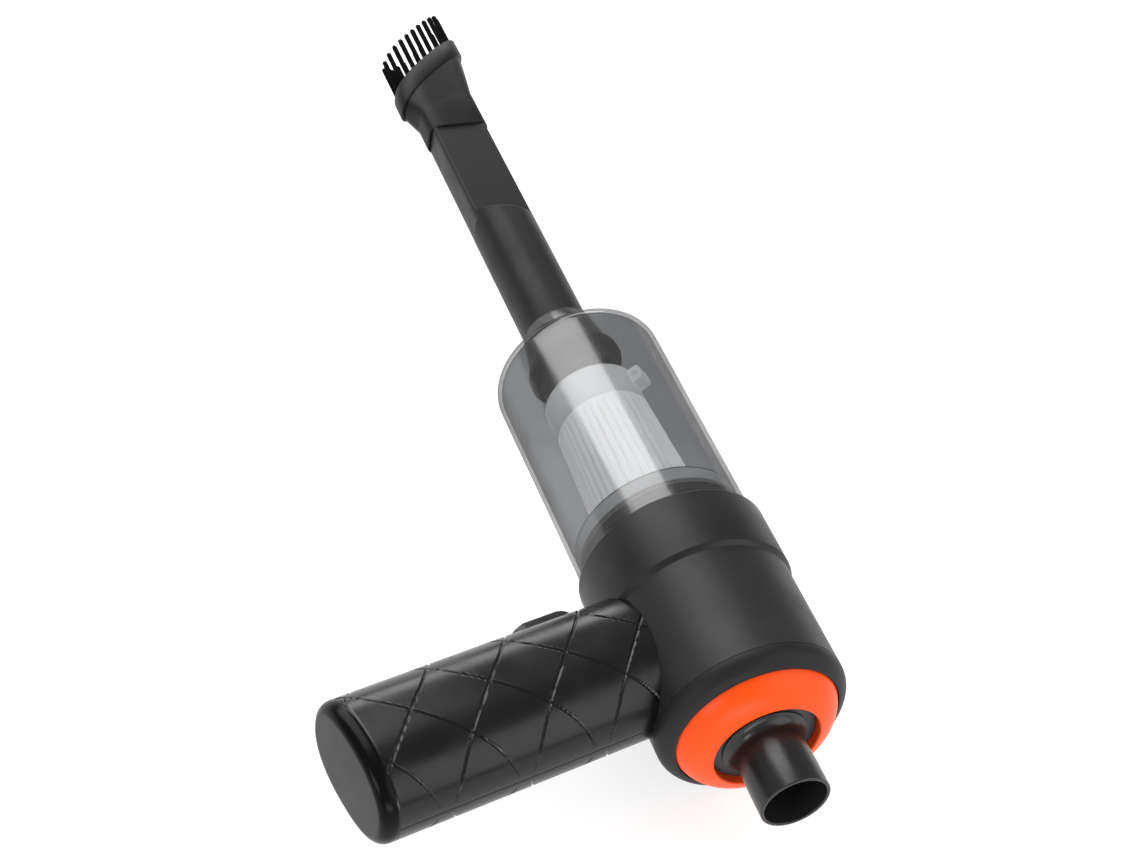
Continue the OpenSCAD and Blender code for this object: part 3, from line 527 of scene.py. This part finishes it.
LOOKS = {
    "housing_black": plastic("housing_black", (0.013, 0.013, 0.0135), 0.42, ior=1.32, wear=0.4),
    "band_black": plastic("band_black", (0.0125, 0.0125, 0.013), 0.42, ior=1.32, wear=0.4),
    "collar_black": plastic("collar_black", (0.014, 0.014, 0.0145), 0.5, ior=1.28, wear=0.3),
    "orange": plastic("orange", (0.95, 0.08, 0.004), 0.4, ior=1.3, depth=0.00001, mottle=0.04),
    "disc_grey": plastic("disc_grey", (0.036, 0.037, 0.041), 0.42, ior=1.33),
    "nozzle_black": plastic("nozzle_black", (0.012, 0.012, 0.012), 0.28, ior=1.45, wear=0.5),
    "deck_black": plastic("deck_black", (0.01, 0.01, 0.011), 0.2, depth=0.000004),
    "rubber_black": plastic("rubber_black", (0.014, 0.014, 0.014), 0.7, grain=1500),
    "grey_plastic": plastic("grey_plastic", (0.11, 0.11, 0.115), 0.5),
    "zinc": metal("zinc", (0.5, 0.52, 0.54), 0.36),
    "screw_steel": metal("screw_steel", (0.6, 0.61, 0.62), 0.3),
    "magnet": plastic("magnet", (0.05, 0.05, 0.055), 0.6, mottle=0.25),
    "bell_nylon": plastic("bell_nylon", (0.72, 0.7, 0.63), 0.5, mottle=0.05),
    "bronze": metal("bronze", (0.55, 0.38, 0.2), 0.4),
    "carbon": plastic("carbon", (0.02, 0.02, 0.02), 0.6, mottle=0.3),
    "terminal_brass": metal("terminal_brass", (0.7, 0.52, 0.22), 0.3),
    "capacitor_blue": plastic("capacitor_blue", (0.04, 0.14, 0.45), 0.25),
    "wire_red": plastic("wire_red", (0.45, 0.02, 0.015), 0.45),
    "handle_black": plastic("handle_black", (0.004, 0.004, 0.0042), 0.26, depth=0.000012,
                            ior=1.4, wear=0.3),
    # The end cap is the handle's own plastic; this darker, less glossy copy is painted shade that keeps
    # its flat face dark.
    "end_cap_shaded_black": plastic("end_cap_shaded_black", (0.003, 0.003, 0.0032), 0.24, depth=0.000008,
                             ior=1.18, wear=0.3),
    "board_green": circuit("board_green", (0.015, 0.14, 0.05)),
    "socket_steel": metal("socket_steel", (0.6, 0.6, 0.62), 0.2),
    "cell_blue": plastic("cell_blue", (0.03, 0.16, 0.42), 0.3, depth=0.000006),
    "nickel": metal("nickel", (0.62, 0.62, 0.6), 0.3),
    "spring_steel": metal("spring_steel", (0.6, 0.61, 0.63), 0.25),
    "shaft_steel": metal("shaft_steel", (0.65, 0.66, 0.68), 0.2, (12, 1, 1)),
    "copper": windings("copper", (0.6, 0.22, 0.08), (0.08, 0.06, 0.05)),
    "impeller_white": plastic("impeller_white", (0.72, 0.73, 0.74), 0.45, mottle=0.05),
    "button_black": plastic("button_black", (0.009, 0.009, 0.0094), 0.28, depth=0.00001, ior=1.4),
    "plunger_white": plastic("plunger_white", (0.72, 0.72, 0.69), 0.4, mottle=0.04),
    "clear_smoke": clear_plastic("clear_smoke", (0.6, 0.605, 0.61), (1.5, 1.5, 1.5), 0.14,
                                 0.02, (0.45, 0.45, 0.46)),
    "frame_grey": plastic("frame_grey", (0.31, 0.315, 0.32), 0.4, mottle=0.04),
    "gasket_grey": plastic("gasket_grey", (0.22, 0.225, 0.23), 0.8, grain=1200, depth=0.00008),
    "filter_white": fleece("filter_white", (0.76, 0.765, 0.77)),
    "cap_clear": clear_plastic("cap_clear", (0.88, 0.885, 0.89), (1, 1, 1), 0.2,
                               0.6, (0.68, 0.685, 0.69)),
    "tool_black": plastic("tool_black", (0.011, 0.011, 0.0114), 0.42, ior=1.23, wear=0.4),
    "bristle_black": plastic("bristle_black", (0.0025, 0.0025, 0.0025), 0.6, depth=0.000005, ior=1.08),
}

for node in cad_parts.values():
    for slot in node.material_slots:
        slot.material = LOOKS.get(slot.material.name.split(".")[0], LOOKS["grey_plastic"])


# ---- barrel ----

def barrel():
    """The front band and the rear collar; the housing between them keeps its CAD mesh."""
    band = [(STEP_X, NECK_R), (STEP_X, BODY_R - 0.05), (STEP_X + STEP_LEN, BAND_R, 0.8),
            (BAND_X - 1.7, BAND_R, 0.9), (BAND_X, NECK_R + 0.5, 0.3), (BAND_X, NECK_R)]
    piece("front_band_shell", turned(rounded(band)), "band_black", "housing", "front_band")
    collar = [(BODY_BACK, HOUSING_IN), (BODY_BACK, BODY_R - 0.25), (BODY_BACK - 0.2, BODY_R - 0.05)]
    collar += arc(BODY_BACK - 1, 27.6, 6.7, 88, 159, 20)
    collar += [(-40.6, 29.45), (RING_X, RING_R + 0.2), (RING_X, COLLAR_WEB_R),
               (RING_X + 2, COLLAR_WEB_R), (RING_X + 2, COLLAR_BORE),
               (COLLAR_FRONT, COLLAR_BORE), (COLLAR_FRONT, HOUSING_IN)]
    piece("rear_collar_shell", turned(collar), "collar_black", "housing", "rear_collar")


def ring_line(inset, steps=24):
    """The orange ring's shallow arc, from the collar back to its mouth."""
    start = np.array([RING_X - 1.4, RING_R - inset])
    end = np.array([RING_BACK + inset, DISC_FLANGE_R])
    outward = np.array([-0.77, 0.64])
    t = np.linspace(0, 1, steps + 1)[:, None]
    line = start + (end - start) * t + RING_BOW * 4 * t * (1 - t) * outward
    return [tuple(point) for point in line]


def orange_ring():
    outline = [(RING_X, RING_R)] + ring_line(0)
    outline += arc(RING_BACK + 0.4, DISC_R + 0.85, 0.6, 150, 250, 6)
    outline += [(RING_BACK + 0.7, DISC_R + 0.2), (DISC_FLANGE_X, DISC_R + 0.2),
                (DISC_FLANGE_X, DISC_FLANGE_R)]
    outline += ring_line(RING_WALL)[::-1] + [(RING_X, RING_R - RING_WALL)]
    piece("orange_ring_shell", turned(outline), "orange", "housing", "orange_ring")


def outlet():
    disc = [(DISC_X, SLEEVE_BORE, 0.3), (DISC_X, DISC_R, 0.4), (DISC_FLANGE_X, DISC_R),
            (DISC_FLANGE_X, DISC_FLANGE_R), (DISC_FRONT, DISC_FLANGE_R), (DISC_FRONT, SLEEVE_R),
            (SLEEVE_FRONT, SLEEVE_R), (SLEEVE_FRONT, SLEEVE_BORE)]
    piece("outlet_disc_shell", turned(rounded(disc)), "disc_grey", "housing", "outlet_disc")
    seat = DISC_X - GAP
    edge = 0.45
    tip = [(NOZZLE_FRONT, NOZZLE_BORE), (NOZZLE_TIP, NOZZLE_BORE, edge), (NOZZLE_TIP, NOZZLE_R, edge),
           (NOZZLE_TIP + 10.3, NOZZLE_R)]
    outline = [tuple(point) for point in rounded(tip, 5)] + [(seat - 5.2, NOZZLE_R - 0.25)]
    outline += arc(seat - 4.2, 16.05, 4, 270, 330, 12)
    outline += [(seat - 0.4, 15), (seat, 14.8), (seat, SLEEVE_BORE - RUN),
                (NOZZLE_FRONT, SLEEVE_BORE - RUN)]
    piece("blower_nozzle_tube", turned(outline), "nozzle_black", "blower", "blower_nozzle")


# ---- dust cup and filter ----

def cup():
    inner = CUP_R - CUP_WALL
    floor_in = CUP_FRONT - CUP_WALL
    corner = (CUP_FRONT - CUP_ROUND, CUP_R - CUP_ROUND)
    outline = [(CUP_BACK, inner), (CUP_BACK, CUP_R - 0.3), (CUP_BACK + 0.3, CUP_R)]
    outline += arc(*corner, CUP_ROUND, 90, 0, 20)
    outline += [(CUP_FRONT, NECK_ROOT_R + 0.2)] + arc(CUP_FRONT + 1, NECK_ROOT_R, 1, 180, 262, 6)
    outline += [(NECK_X - 0.5, NECK_TIP_R), (NECK_X - 0.1, NECK_TIP_R - 0.25),
                (NECK_X, NECK_TIP_R - 0.6), (NECK_X, NECK_BORE), (floor_in, NECK_BORE)]
    outline += arc(*corner, CUP_ROUND - CUP_WALL, 0, 90, 20)
    piece("dust_cup_clear", turned(outline), "clear_smoke", "cup", "dust_cup")


def inlet():
    """The tube inside the cup's floor, cut on a slant, longest on the handle's side."""
    floor_in = CUP_FRONT - CUP_WALL
    square_end = 110.0
    outline = np.array([
        (square_end, TUBE_R - TUBE_WALL), (square_end, TUBE_R), (floor_in - 2, TUBE_R),
        (floor_in - 2, TUBE_R + TUBE_FLANGE), (floor_in, TUBE_R + TUBE_FLANGE),
        (floor_in, NECK_BORE - 0.01), (TUBE_STOP, NECK_BORE - 0.01), (TUBE_STOP, NECK_BORE - 1.4),
        (floor_in, NECK_BORE - 1.4), (floor_in - 3, TUBE_R - TUBE_WALL)])
    points, faces = turned(outline)
    cut = np.interp(points[:, 1], [8 - TUBE_R, TUBE_R - 4], TUBE_CUT)
    points[:, 0] = np.where(points[:, 0] == square_end, cut, points[:, 0])
    piece("inlet_tube_cut", (points, faces), "tool_black", "cup", "inlet_tube")


def cone_radius(x):
    return np.interp(x, [CONE_X + 2, CAP_X1], [CONE_R1, CONE_R2])


def pleated_cone():
    """Folded fleece: sharp outer folds that close up into glued bands at both ends."""
    per_pleat, rows = 10, 40
    band, thickness = 2.5, 3.2
    count = PLEATS * per_pleat
    turn = np.linspace(0, 2 * math.pi, count, endpoint=False)
    phase = (np.arange(count) % per_pleat) / per_pleat
    fold = np.abs(2 * phase - 1) ** 0.35
    chance = np.random.default_rng(4)
    each = np.repeat(1 + 0.18 * (chance.random(PLEATS) - 0.5), per_pleat)
    lean = np.repeat(0.012 * (chance.random(PLEATS) - 0.5), per_pleat)
    rings = []
    for x in np.linspace(CONE_X, CAP_X1, rows):
        fade = np.clip(min(x - CONE_X - band, CAP_X1 - 1.0 - x) / band, 0, 1)
        bow = turn + lean * math.sin(math.pi * (x - CONE_X) / (CAP_X1 - CONE_X))
        r = cone_radius(x) - PLEAT_DEPTH * fade * each * (1 - fold)
        rings.append(np.stack([np.full(count, x), r * np.cos(bow), r * np.sin(bow)], 1))
    for x in (CAP_X1, CONE_X):
        r = cone_radius(x) - thickness
        rings.append(np.stack([np.full(count, x), r * np.cos(turn), r * np.sin(turn)], 1))
    return lofted(rings, True)


def frame_tab(side):
    """One of the filter frame's two bayonet tabs."""
    low, high = FRAME_TAB_R
    half = 0.2
    corners = ((low, -half), (high, -half), (high, half), (low, half))
    return lofted([[(x, r * math.sin(a + side), r * math.cos(a + side)) for r, a in corners]
                   for x in (43.2, FRAME_X + 0.5)], False)


def filter_frame():
    rim = CUP_R - CUP_WALL - 0.45
    ring = [(FRAME_X, FRAME_BORE), (FRAME_X, rim, 0.3), (FRAME_FRONT, rim, 0.8),
            (FRAME_FRONT, CONE_R1 + 0.4, 0.3), (CONE_X, CONE_R1 + 0.4), (CONE_X, FRAME_BORE)]
    piece("filter_frame_ring", joined([turned(rounded(ring)), frame_tab(0), frame_tab(math.pi)]),
          "frame_grey", "filter", "filter_frame")
    lip = [(FRAME_FRONT + 0.3 * math.cos(a), 30.55 + 0.3 * math.sin(a))
           for a in np.linspace(0, 2 * math.pi, 12)[:-1]]
    piece("filter_frame_lip", turned(lip), "rubber_black", "filter")
    gasket = [(FRAME_X - 1.3, 25.5, 0.4), (FRAME_X - 1.3, 29.5, 0.4), (FRAME_X, 29.5), (FRAME_X, 25.5)]
    piece("filter_gasket_ring", turned(rounded(gasket)), "gasket_grey", "filter", "filter_gasket")


def filter_cap():
    """The cap on the cone's front, a shallow cup with a pierced tab on its side."""
    inner = CONE_R2 - 3
    bowl = [(CAP_X1, 0.05), (CAP_X1, CONE_R2, 0.5), (CAP_X2, CONE_R2, 1.5), (CAP_X2, inner, 0.5),
            (CAP_X1 + 2, inner, 0.8), (CAP_X1 + 2, 0.05)]
    (low, high), (back, front) = CAP_TAB_R, CAP_TAB_X
    tab = rounded([(back, low), (back, high, 1.6), (front, high, 1.6), (front, low)])
    hole = arc(115.2, 20.1, 1.5, 0, 345, 23)

    def cap_side(line, across):
        """A ring of (x, radial) points at a place across the tab."""
        turn = CAP_TAB_TURN
        return [(x, -r * math.sin(turn) + across * math.cos(turn),
                 r * math.cos(turn) + across * math.sin(turn)) for x, r in line]

    tab_shape = lofted([cap_side(tab, across) for across in (-3.5, -3.2, 3.2, 3.5)], False)
    piece("filter_cap_tab", tab_shape, "cap_clear", "filter",
          cuts=[lofted([cap_side(hole, across) for across in (-5, 5)], False)])
    piece("filter_cap_bowl", turned(rounded(bowl)), "cap_clear", "filter", "filter_cap")


def filter_parts():
    filter_frame()
    piece("filter_pleats", pleated_cone(), "filter_white", "filter", "filter_cone")
    filter_cap()


# ---- crevice tool and brush ----

def tool_ring(x, radius, wall=0.0, count=240, crisp=36):
    """A ring across the tool: a circle cut by two pairs of flats, with slightly eased corners."""
    turn = np.linspace(0, 2 * math.pi, count, endpoint=False)
    across, up = np.abs(np.cos(turn)) + 1e-6, np.abs(np.sin(turn)) + 1e-6
    r = np.full(count, radius)
    for _ in range(4):
        ramp = [FLAT_START - wall, FLAT_END - wall]
        half_y = np.interp(x, ramp, [TOOL_R + 1, FLAT_Y - wall])
        half_z = np.interp(x - FLAT_SLANT * r * np.cos(turn), ramp, [TOOL_R + 1, FLAT_Z - wall])
        r = (radius ** -crisp + (half_y / across) ** -crisp + (half_z / up) ** -crisp) ** (-1 / crisp)
    return np.stack([np.full(count, x), r * np.cos(turn), r * np.sin(turn)], 1)


def crevice_tool():
    back = TUBE_STOP + GAP
    bore = TOOL_R - TOOL_WALL
    ease = 0.4
    crease = list(np.arange(FLAT_START - 8, FLAT_START + 10, 0.3))
    stations = [back + ease, 200] + crease + [280, TOOL_END - ease]
    rings = [tool_ring(back, TOOL_R - ease)] + [tool_ring(x, TOOL_R) for x in stations]
    rings += [tool_ring(TOOL_END, TOOL_R, ease)]
    rings += [tool_ring(x, bore, TOOL_WALL) for x in [TOOL_END] + stations[::-1][1:] + [back]]
    piece("crevice_tool_body", lofted(rings, True), "tool_black", "tool", "crevice_tool")


def brush_ring(x, a, b, n, tilt, count=160):
    """A superellipse across the brush, slanted back towards the handle's side."""
    line = oval(a, b, n, count)
    return np.stack([x - tilt * line[:, 0], line[:, 0], line[:, 1]], 1)


def brush_collar():
    """The sleeve, the funnel and the slanted rim, outside and then inside."""
    back = RIM_X - RIM_LEN
    shoulder = SLEEVE_X + 18
    sleeve_y, sleeve_z = FLAT_Y + 1.3, FLAT_Z + 1.2
    rings = [brush_ring(SLEEVE_X + x, sleeve_y - inset, sleeve_z - inset, SLEEVE_N, 0)
             for x, inset in ((0, 0.5), (0.15, 0.15), (0.5, 0))]
    rings.append(brush_ring(shoulder, sleeve_y, sleeve_z, SLEEVE_N, SLANT * 0.5))
    flare = 10
    for k in range(1, flare + 1):
        f = k / flare
        x = shoulder + (back - 0.4 - shoulder) * f
        half_y = sleeve_y + (RIM_Y - 1.4 - sleeve_y) * f
        half_z = sleeve_z + (RIM_Z - 0.6 - sleeve_z) * f
        squareness = SLEEVE_N + (RIM_N - SLEEVE_N) * f
        rings.append(brush_ring(x, half_y, half_z, squareness, SLANT * (0.5 + 0.5 * f)))
    rim = ((back - 0.3, 0.9), (back + 0.2, 0.3), (back + 1.0, 0.0), (RIM_X - 0.9, 0.0),
           (RIM_X - 0.3, 0.2), (RIM_X, 0.8))
    rings += [brush_ring(x, RIM_Y - inset, RIM_Z - inset, RIM_N, SLANT) for x, inset in rim]
    mouth_y, mouth_z = RIM_Y - 2 * TUFT_IN - 1.6, RIM_Z - 2 * TUFT_IN
    rings.append(brush_ring(RIM_X, mouth_y + 0.4, mouth_z + 0.4, RIM_N, SLANT))
    rings.append(brush_ring(RIM_X - 0.4, mouth_y, mouth_z, RIM_N, SLANT))
    rings.append(brush_ring(SLEEVE_X + 26, FLAT_Y - 1.6, FLAT_Z - 1.6, SLEEVE_N, SLANT * 0.25))
    rings += [brush_ring(SLEEVE_X + x, FLAT_Y + 0.3, FLAT_Z + 0.3, 2 * SLEEVE_N, 0) for x in (25.7, 0)]
    piece("brush_collar_body", lofted(rings, True), "tool_black", "brush", "brush_collar")


def brush_tufts():
    """Each tuft is a bundle of fine filaments inside the CAD tuft's radius."""
    line = oval(RIM_Y - TUFT_IN, RIM_Z - TUFT_IN, RIM_N, TUFTS * 2)[1::2]
    chance = np.random.default_rng(11)
    per_tuft, thickness = 60, 0.13
    golden_turn, twist = 2.39996, 0.15
    parts = []
    for y, z in line:
        base = RIM_X - SLANT * y
        root = base - BRISTLE_ROOT
        for k in range(per_tuft):
            reach = (TUFT_R + 0.05) * ((k + 0.5) / per_tuft) ** 0.4
            turn = k * golden_turn
            spread = 0.93 + 0.07 * chance.random()
            tip = base + BRISTLE_OUT - 0.9 * chance.random()
            start, end = reach * 0.96, reach * spread
            path = []
            for f in (0, 0.35, 0.7, 1):
                off = start + (end - start) * f
                path.append((root + (tip - root) * f, y + off * math.cos(turn + twist * f),
                             z + off * math.sin(turn + twist * f)))
            parts.append(tube(path, thickness, 5))
    piece("brush_filaments", joined(parts), "bristle_black", "brush", "brush_tufts")


# ---- handle ----

def barrel_radius(x):
    return np.interp(x, [STEP_X, STEP_X + STEP_LEN], [BODY_R, BAND_R])


def grip_start(u, w):
    """Where a line along the handle leaves the barrel."""
    s = np.full_like(u, 30.0)
    for _ in range(6):
        reach = barrel_radius(u * math.cos(LEAN) - s * math.sin(LEAN))
        s = (np.sqrt(reach ** 2 - w ** 2) - u * math.sin(LEAN)) / math.cos(LEAN)
    return s


def groove_rise(t, around):
    """How far a groove has run along the handle at t, and its slope there.

    It turns across the handle near the seams.
    """
    off = t - around / 2
    bend = np.clip(np.abs(off) - GROOVE_EASE, 0, None) / GROOVE_BEND
    lost = np.sign(off) * GROOVE_FALL * GROOVE_BEND * bend ** 2 / 2
    return GROOVE_SLOPE * (t - GROOVE_T) - lost, GROOVE_SLOPE - GROOVE_FALL * bend


def groove_depth(s, t, around):
    """Depth of the crossing grooves cut in the grip, which fade out before the seams."""
    rise, slope = groove_rise(t, around)
    cut = np.zeros_like(s)
    for way in (-1, 1):
        phase = (s - GROOVE_S - way * rise) / GROOVE_PITCH
        off = np.abs(phase - np.round(phase)) * GROOVE_PITCH / np.sqrt(1 + slope ** 2)
        cut = np.maximum(cut, GROOVE_DEEP * np.clip(1 - (off / GROOVE_HALF) ** 2, 0, None) ** 0.6)
    seam = np.minimum(t, around - t)
    return cut * np.clip((seam - 2.6) / 1.6, 0, 1)


def parting_depth(edge):
    """Depth of the fine line where the shells meet, at a distance from the edge."""
    return PARTING_DEEP * np.clip(1 - edge / PARTING_WIDE, 0, 1)


def grip_half(side):
    """One shell of the handle, from the barrel to the end cap, with its grooves."""
    cols, rows = 222, 385
    outer = oval(GRIP_A, GRIP_B, GRIP_N, cols, 180.0)
    inner = oval(GRIP_A - GRIP_WALL, GRIP_B - GRIP_WALL, GRIP_N, cols, 180.0)
    run = np.concatenate([[0], np.cumsum(np.linalg.norm(np.diff(outer, axis=0), axis=1))])
    t = np.repeat(run[None], rows, 0)
    facing = np.stack([power(outer[:, 0] / GRIP_A, GRIP_N - 1) / GRIP_A,
                       power(outer[:, 1] / GRIP_B, GRIP_N - 1) / GRIP_B], 1)
    facing /= np.linalg.norm(facing, axis=1)[:, None]
    first = grip_start(outer[:, 0], outer[:, 1]) - 0.4
    along = np.linspace(0, 1, rows)[:, None]
    s = first[None] + (CAP_S - first[None]) * along
    parting = parting_depth(np.minimum(np.minimum(t, run[-1] - t), CAP_S - s))
    depth = np.maximum(groove_depth(s, t, run[-1]), parting)
    u = outer[None, :, 0] - depth * facing[None, :, 0]
    w = outer[None, :, 1] - depth * facing[None, :, 1]
    skin = handle_points(s, u, side * w).reshape(-1, 3)
    ends = [handle_points(s[row], inner[:, 0], side * inner[:, 1]) for row in (0, rows - 1)]
    points = np.concatenate([skin, *ends])
    faces = grid(rows, cols, False, False)
    back, front = rows * cols, (rows + 1) * cols
    last = (rows - 1) * cols
    for k in range(cols - 1):
        faces += [[back + k, back + k + 1, front + k + 1, front + k],
                  [k, k + 1, back + k + 1, back + k],
                  [last + k, last + k + 1, front + k + 1, front + k]]
    for col in (0, cols - 1):
        faces.append([row * cols + col for row in range(rows)] + [front + col, back + col])
    return points, faces


def stadium(half_l, half_w, steps=16):
    """A slot's outline as (along, across) points."""
    middle = half_l - half_w
    return arc(middle, 0, half_w, -90, 90, steps) + arc(-middle, 0, half_w, 90, 270, steps)


def prism_u(outline, s, u0, u1):
    """An outline of (along, up) points about s, run from u0 to u1."""
    line = np.array(outline)
    return lofted([handle_points(s + line[:, 0], np.full(len(line), u), line[:, 1])
                   for u in (u0, u1)], False)


def prism_w(outline, s, u, w0, w1):
    """An outline of (along, across) points about (s, u), run from w0 to w1."""
    line = np.array(outline)
    return lofted([handle_points(s + line[:, 0], u + line[:, 1], np.full(len(line), w))
                   for w in (w0, w1)], False)


def handle():
    """The two shells, with the button's opening, the charging slot and the screws' counterbores."""
    opening = prism_u(stadium(BUTTON_L + 0.35, BUTTON_W + 0.35), BUTTON_S, 10, 40)
    piece("handle_left_shell", grip_half(1), "handle_black", "housing", "handle_left", cuts=[opening])
    under = [opening, prism_w(stadium(4.75, 1.85), BUTTON_S, CHARGE_U, -25, -10)]
    round_hole = arc(0, 0, 2.0, 0, 348, 29)
    under += [prism_w(round_hole, s, u, -30, SCREW_FLOOR) for s in SCREW_S for u in (-SCREW_U, SCREW_U)]
    piece("handle_right_shell", grip_half(-1), "handle_black", "housing", "handle_right", cuts=under)


def end_cap():
    """The plug at the handle's end, rounded over into its flat face."""
    count = 220
    spigot = GRIP_WALL + 0.1
    line = [(CAP_S - 3, spigot), (CAP_S, spigot), (CAP_S, 0.3), (CAP_S + 0.15, 0.08), (CAP_S + 0.5, 0)]
    start = GRIP_END - END_BEVEL
    for angle in np.radians(np.linspace(0, 86, 15)):
        line.append((start + END_BEVEL * math.sin(angle), END_INSET * (1 - math.cos(angle))))
    line += [(GRIP_END, END_INSET + 0.5)]
    rings = []
    for s, inset in line:
        ring = oval(GRIP_A - inset, GRIP_B - inset, GRIP_N, count)
        rings.append(handle_points(np.full(count, s), ring[:, 0], ring[:, 1]))
    # The end cap takes the darker copy of the handle's black: painted shade on its face.
    piece("handle_end_plug", lofted(rings, False), "end_cap_shaded_black", "housing", "handle_end_cap",
          slot="handle_black")


def screw_heads():
    """Pan heads with a cross recess, at the bottom of the counterbores."""
    head_h, head_r, shank_r, tip = 1.7, 1.9, 0.98, 6.4
    profile = [(SCREW_FLOOR - head_h, 0.05)]
    profile += [(SCREW_FLOOR - head_h * math.cos(a), head_r * math.sin(a))
                for a in np.radians([25, 45, 65, 80])]
    profile += [(SCREW_FLOOR, head_r), (SCREW_FLOOR, shank_r), (tip, shank_r), (tip, 0.05)]
    turn = np.linspace(0, 2 * math.pi, 40, endpoint=False)
    parts, crosses = [], []
    for s in SCREW_S:
        for u in (-SCREW_U, SCREW_U):
            parts.append(lofted([
                handle_points(s + r * np.cos(turn), u + r * np.sin(turn), np.full(len(turn), w))
                for w, r in profile], False))
            for long, wide in ((1.1, 0.22), (0.22, 1.1)):
                box = [(-long, -wide), (long, -wide), (long, wide), (-long, wide)]
                crosses.append(prism_w(box, s, u, -10, SCREW_FLOOR - 0.9))
    piece("handle_screw_heads", joined(parts), "screw_steel", "housing", "handle_screws", cuts=crosses)


def power_button():
    """A domed slot-shaped cap above its flange."""
    rise = BUTTON_CROWN - GRIP_A - 0.3
    dome = (BUTTON_L ** 2 + rise ** 2) / (2 * rise)
    line = np.array(stadium(BUTTON_L, BUTTON_W, 24)[:-1])
    middle = BUTTON_L - BUTTON_W
    spine = np.stack([np.clip(line[:, 0], -middle, middle), np.zeros(len(line))], 1)

    def ring(f, sink=0.0):
        """The cap's outline drawn in to f of its width, lying on the dome."""
        at = spine + (line - spine) * f
        top = BUTTON_CROWN - dome + np.sqrt(dome ** 2 - (at ** 2).sum(1))
        return handle_points(BUTTON_S + at[:, 0], top - sink, at[:, 1])

    skirt = handle_points(BUTTON_S + line[:, 0], np.full(len(line), BUTTON_BASE), line[:, 1])
    rings = [skirt, ring(1.0, 0.5), ring(0.985, 0.16), ring(0.95, 0.02)]
    rings += [ring(f) for f in (0.88, 0.75, 0.6, 0.45, 0.3, 0.15, 0.02)]
    lip = 1.2
    flange = [(min(x, FLANGE_END - BUTTON_S), y) for x, y in stadium(BUTTON_L + lip, BUTTON_W + lip)]
    block = [(-6, -5), (6, -5), (6, 5), (-6, 5)]
    parts = [lofted(rings, False), prism_u(flange, BUTTON_S, FLANGE_U, FLANGE_U + lip),
             prism_u(block, BUTTON_S, FLANGE_U, BUTTON_BASE + 0.1)]
    piece("power_button_cap", joined(parts), "button_black", "button", "power_button")


def button_spring():
    """The coil under the button, which shortens as the button goes in on the real thing; here it keeps
    one length.
    """
    turns, coil, wire = 3.5, 2.9, 0.3
    f = np.linspace(0, 1, 140)
    low, high = SWITCH_U + wire, FLANGE_U - wire
    turn = 2 * math.pi * turns * f
    path = handle_points(BUTTON_S + coil * np.cos(turn), low + (high - low) * f, coil * np.sin(turn))
    made = piece("button_spring_coil", tube(path, wire, 8), "spring_steel", "housing", "button_spring")
    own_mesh(made)


barrel()
orange_ring()
outlet()
cup()
inlet()
filter_parts()
crevice_tool()
brush_collar()
brush_tufts()
handle()
end_cap()
screw_heads()
power_button()
button_spring()


# ---- floor, light and camera ----

def floor():
    """A pale floor that glows a little, which keeps it white and the shadows faint."""
    n = Nodes("pale_floor")
    shader = n.add("ShaderNodeBsdfPrincipled", Roughness=0.8)
    shader.inputs["Emission Color"].default_value = (1, 1, 1, 1)
    shader.inputs["Emission Strength"].default_value = 0.75
    patches = n.ranged(n.noise(3, 3), 0, 1)
    n.link(n.blend(patches, rgba((0.39, 0.39, 0.39)), rgba((0.41, 0.41, 0.41))),
           shader.inputs["Base Color"])
    look = n.finish(shader.outputs["BSDF"])
    half = 8.0
    corners = [(-half, -half, 0), (half, -half, 0), (half, half, 0), (-half, half, 0)]
    mesh = bpy.data.meshes.new("floor")
    mesh.from_pydata(corners, [], [(0, 1, 2, 3)])
    mesh.materials.append(look)
    made = bpy.data.objects.new("floor", mesh)
    bpy.context.scene.collection.objects.link(made)


def softbox(name, place, target, size, watts):
    """A rectangular lamp, in metres in the CAD's frame, turned to its target."""
    lamp = bpy.data.lights.new(name, "AREA")
    lamp.shape = "RECTANGLE"
    lamp.size, lamp.size_y = size
    lamp.energy = watts
    made = bpy.data.objects.new(name, lamp)
    made.location = place
    made.rotation_mode = "QUATERNION"
    made.rotation_quaternion = (Vector(target) - Vector(place)).to_track_quat("-Z", "Y")
    bpy.context.scene.collection.objects.link(made)


def light():
    world = bpy.data.worlds.new("studio")
    bpy.context.scene.world = world
    world.use_nodes = True
    back = world.node_tree.nodes["Background"]
    back.inputs["Color"].default_value = (1, 1, 1, 1)
    back.inputs["Strength"].default_value = 0.35
    softbox("overhead", (0.78, 0.28, 0.97), (-0.06, -0.05, 0.03), (0.9, 1.3), 16)
    softbox("fill", (-1.0, -1.15, 1.05), (-0.05, -0.05, 0.03), (1.8, 1.8), 18)
    softbox("front_low", (1.7, -0.5, 0.6), (-0.05, 0.02, 0.03), (1.0, 0.5), 7)
    softbox("handle_side", (-0.6, 1.3, 0.6), (-0.05, 0.05, 0.03), (0.6, 0.45), 5)
    softbox("rear_low", (-1.5, 0.2, 0.24), (-0.15, 0.0, 0.05), (1.0, 0.3), 6)


def camera():
    """The camera looks down at the handle side and the blower end, rolled a little."""
    place = np.array((-410.233, 282.361, 550.54))   # in millimetres from the barrel's origin
    across = Vector((-0.33798, -0.93106, 0.13743)).normalized()
    back = Vector((-0.64535, 0.33556, 0.68624)).normalized()
    up = back.cross(across)
    data = bpy.data.cameras.new("camera")
    data.lens = 67.7
    data.sensor_width = 36
    data.clip_start, data.clip_end = 0.05, 40
    made = bpy.data.objects.new("camera", data)
    turn = Matrix((across, up, back)).transposed().to_4x4()
    made.matrix_world = Matrix.Translation(ORIGIN + MM * place) @ turn
    bpy.context.scene.collection.objects.link(made)
    bpy.context.scene.camera = made


floor()
light()
camera()
bpy.context.scene.view_settings.view_transform = "Standard"
bpy.context.scene.cycles.transparent_max_bounces = 24
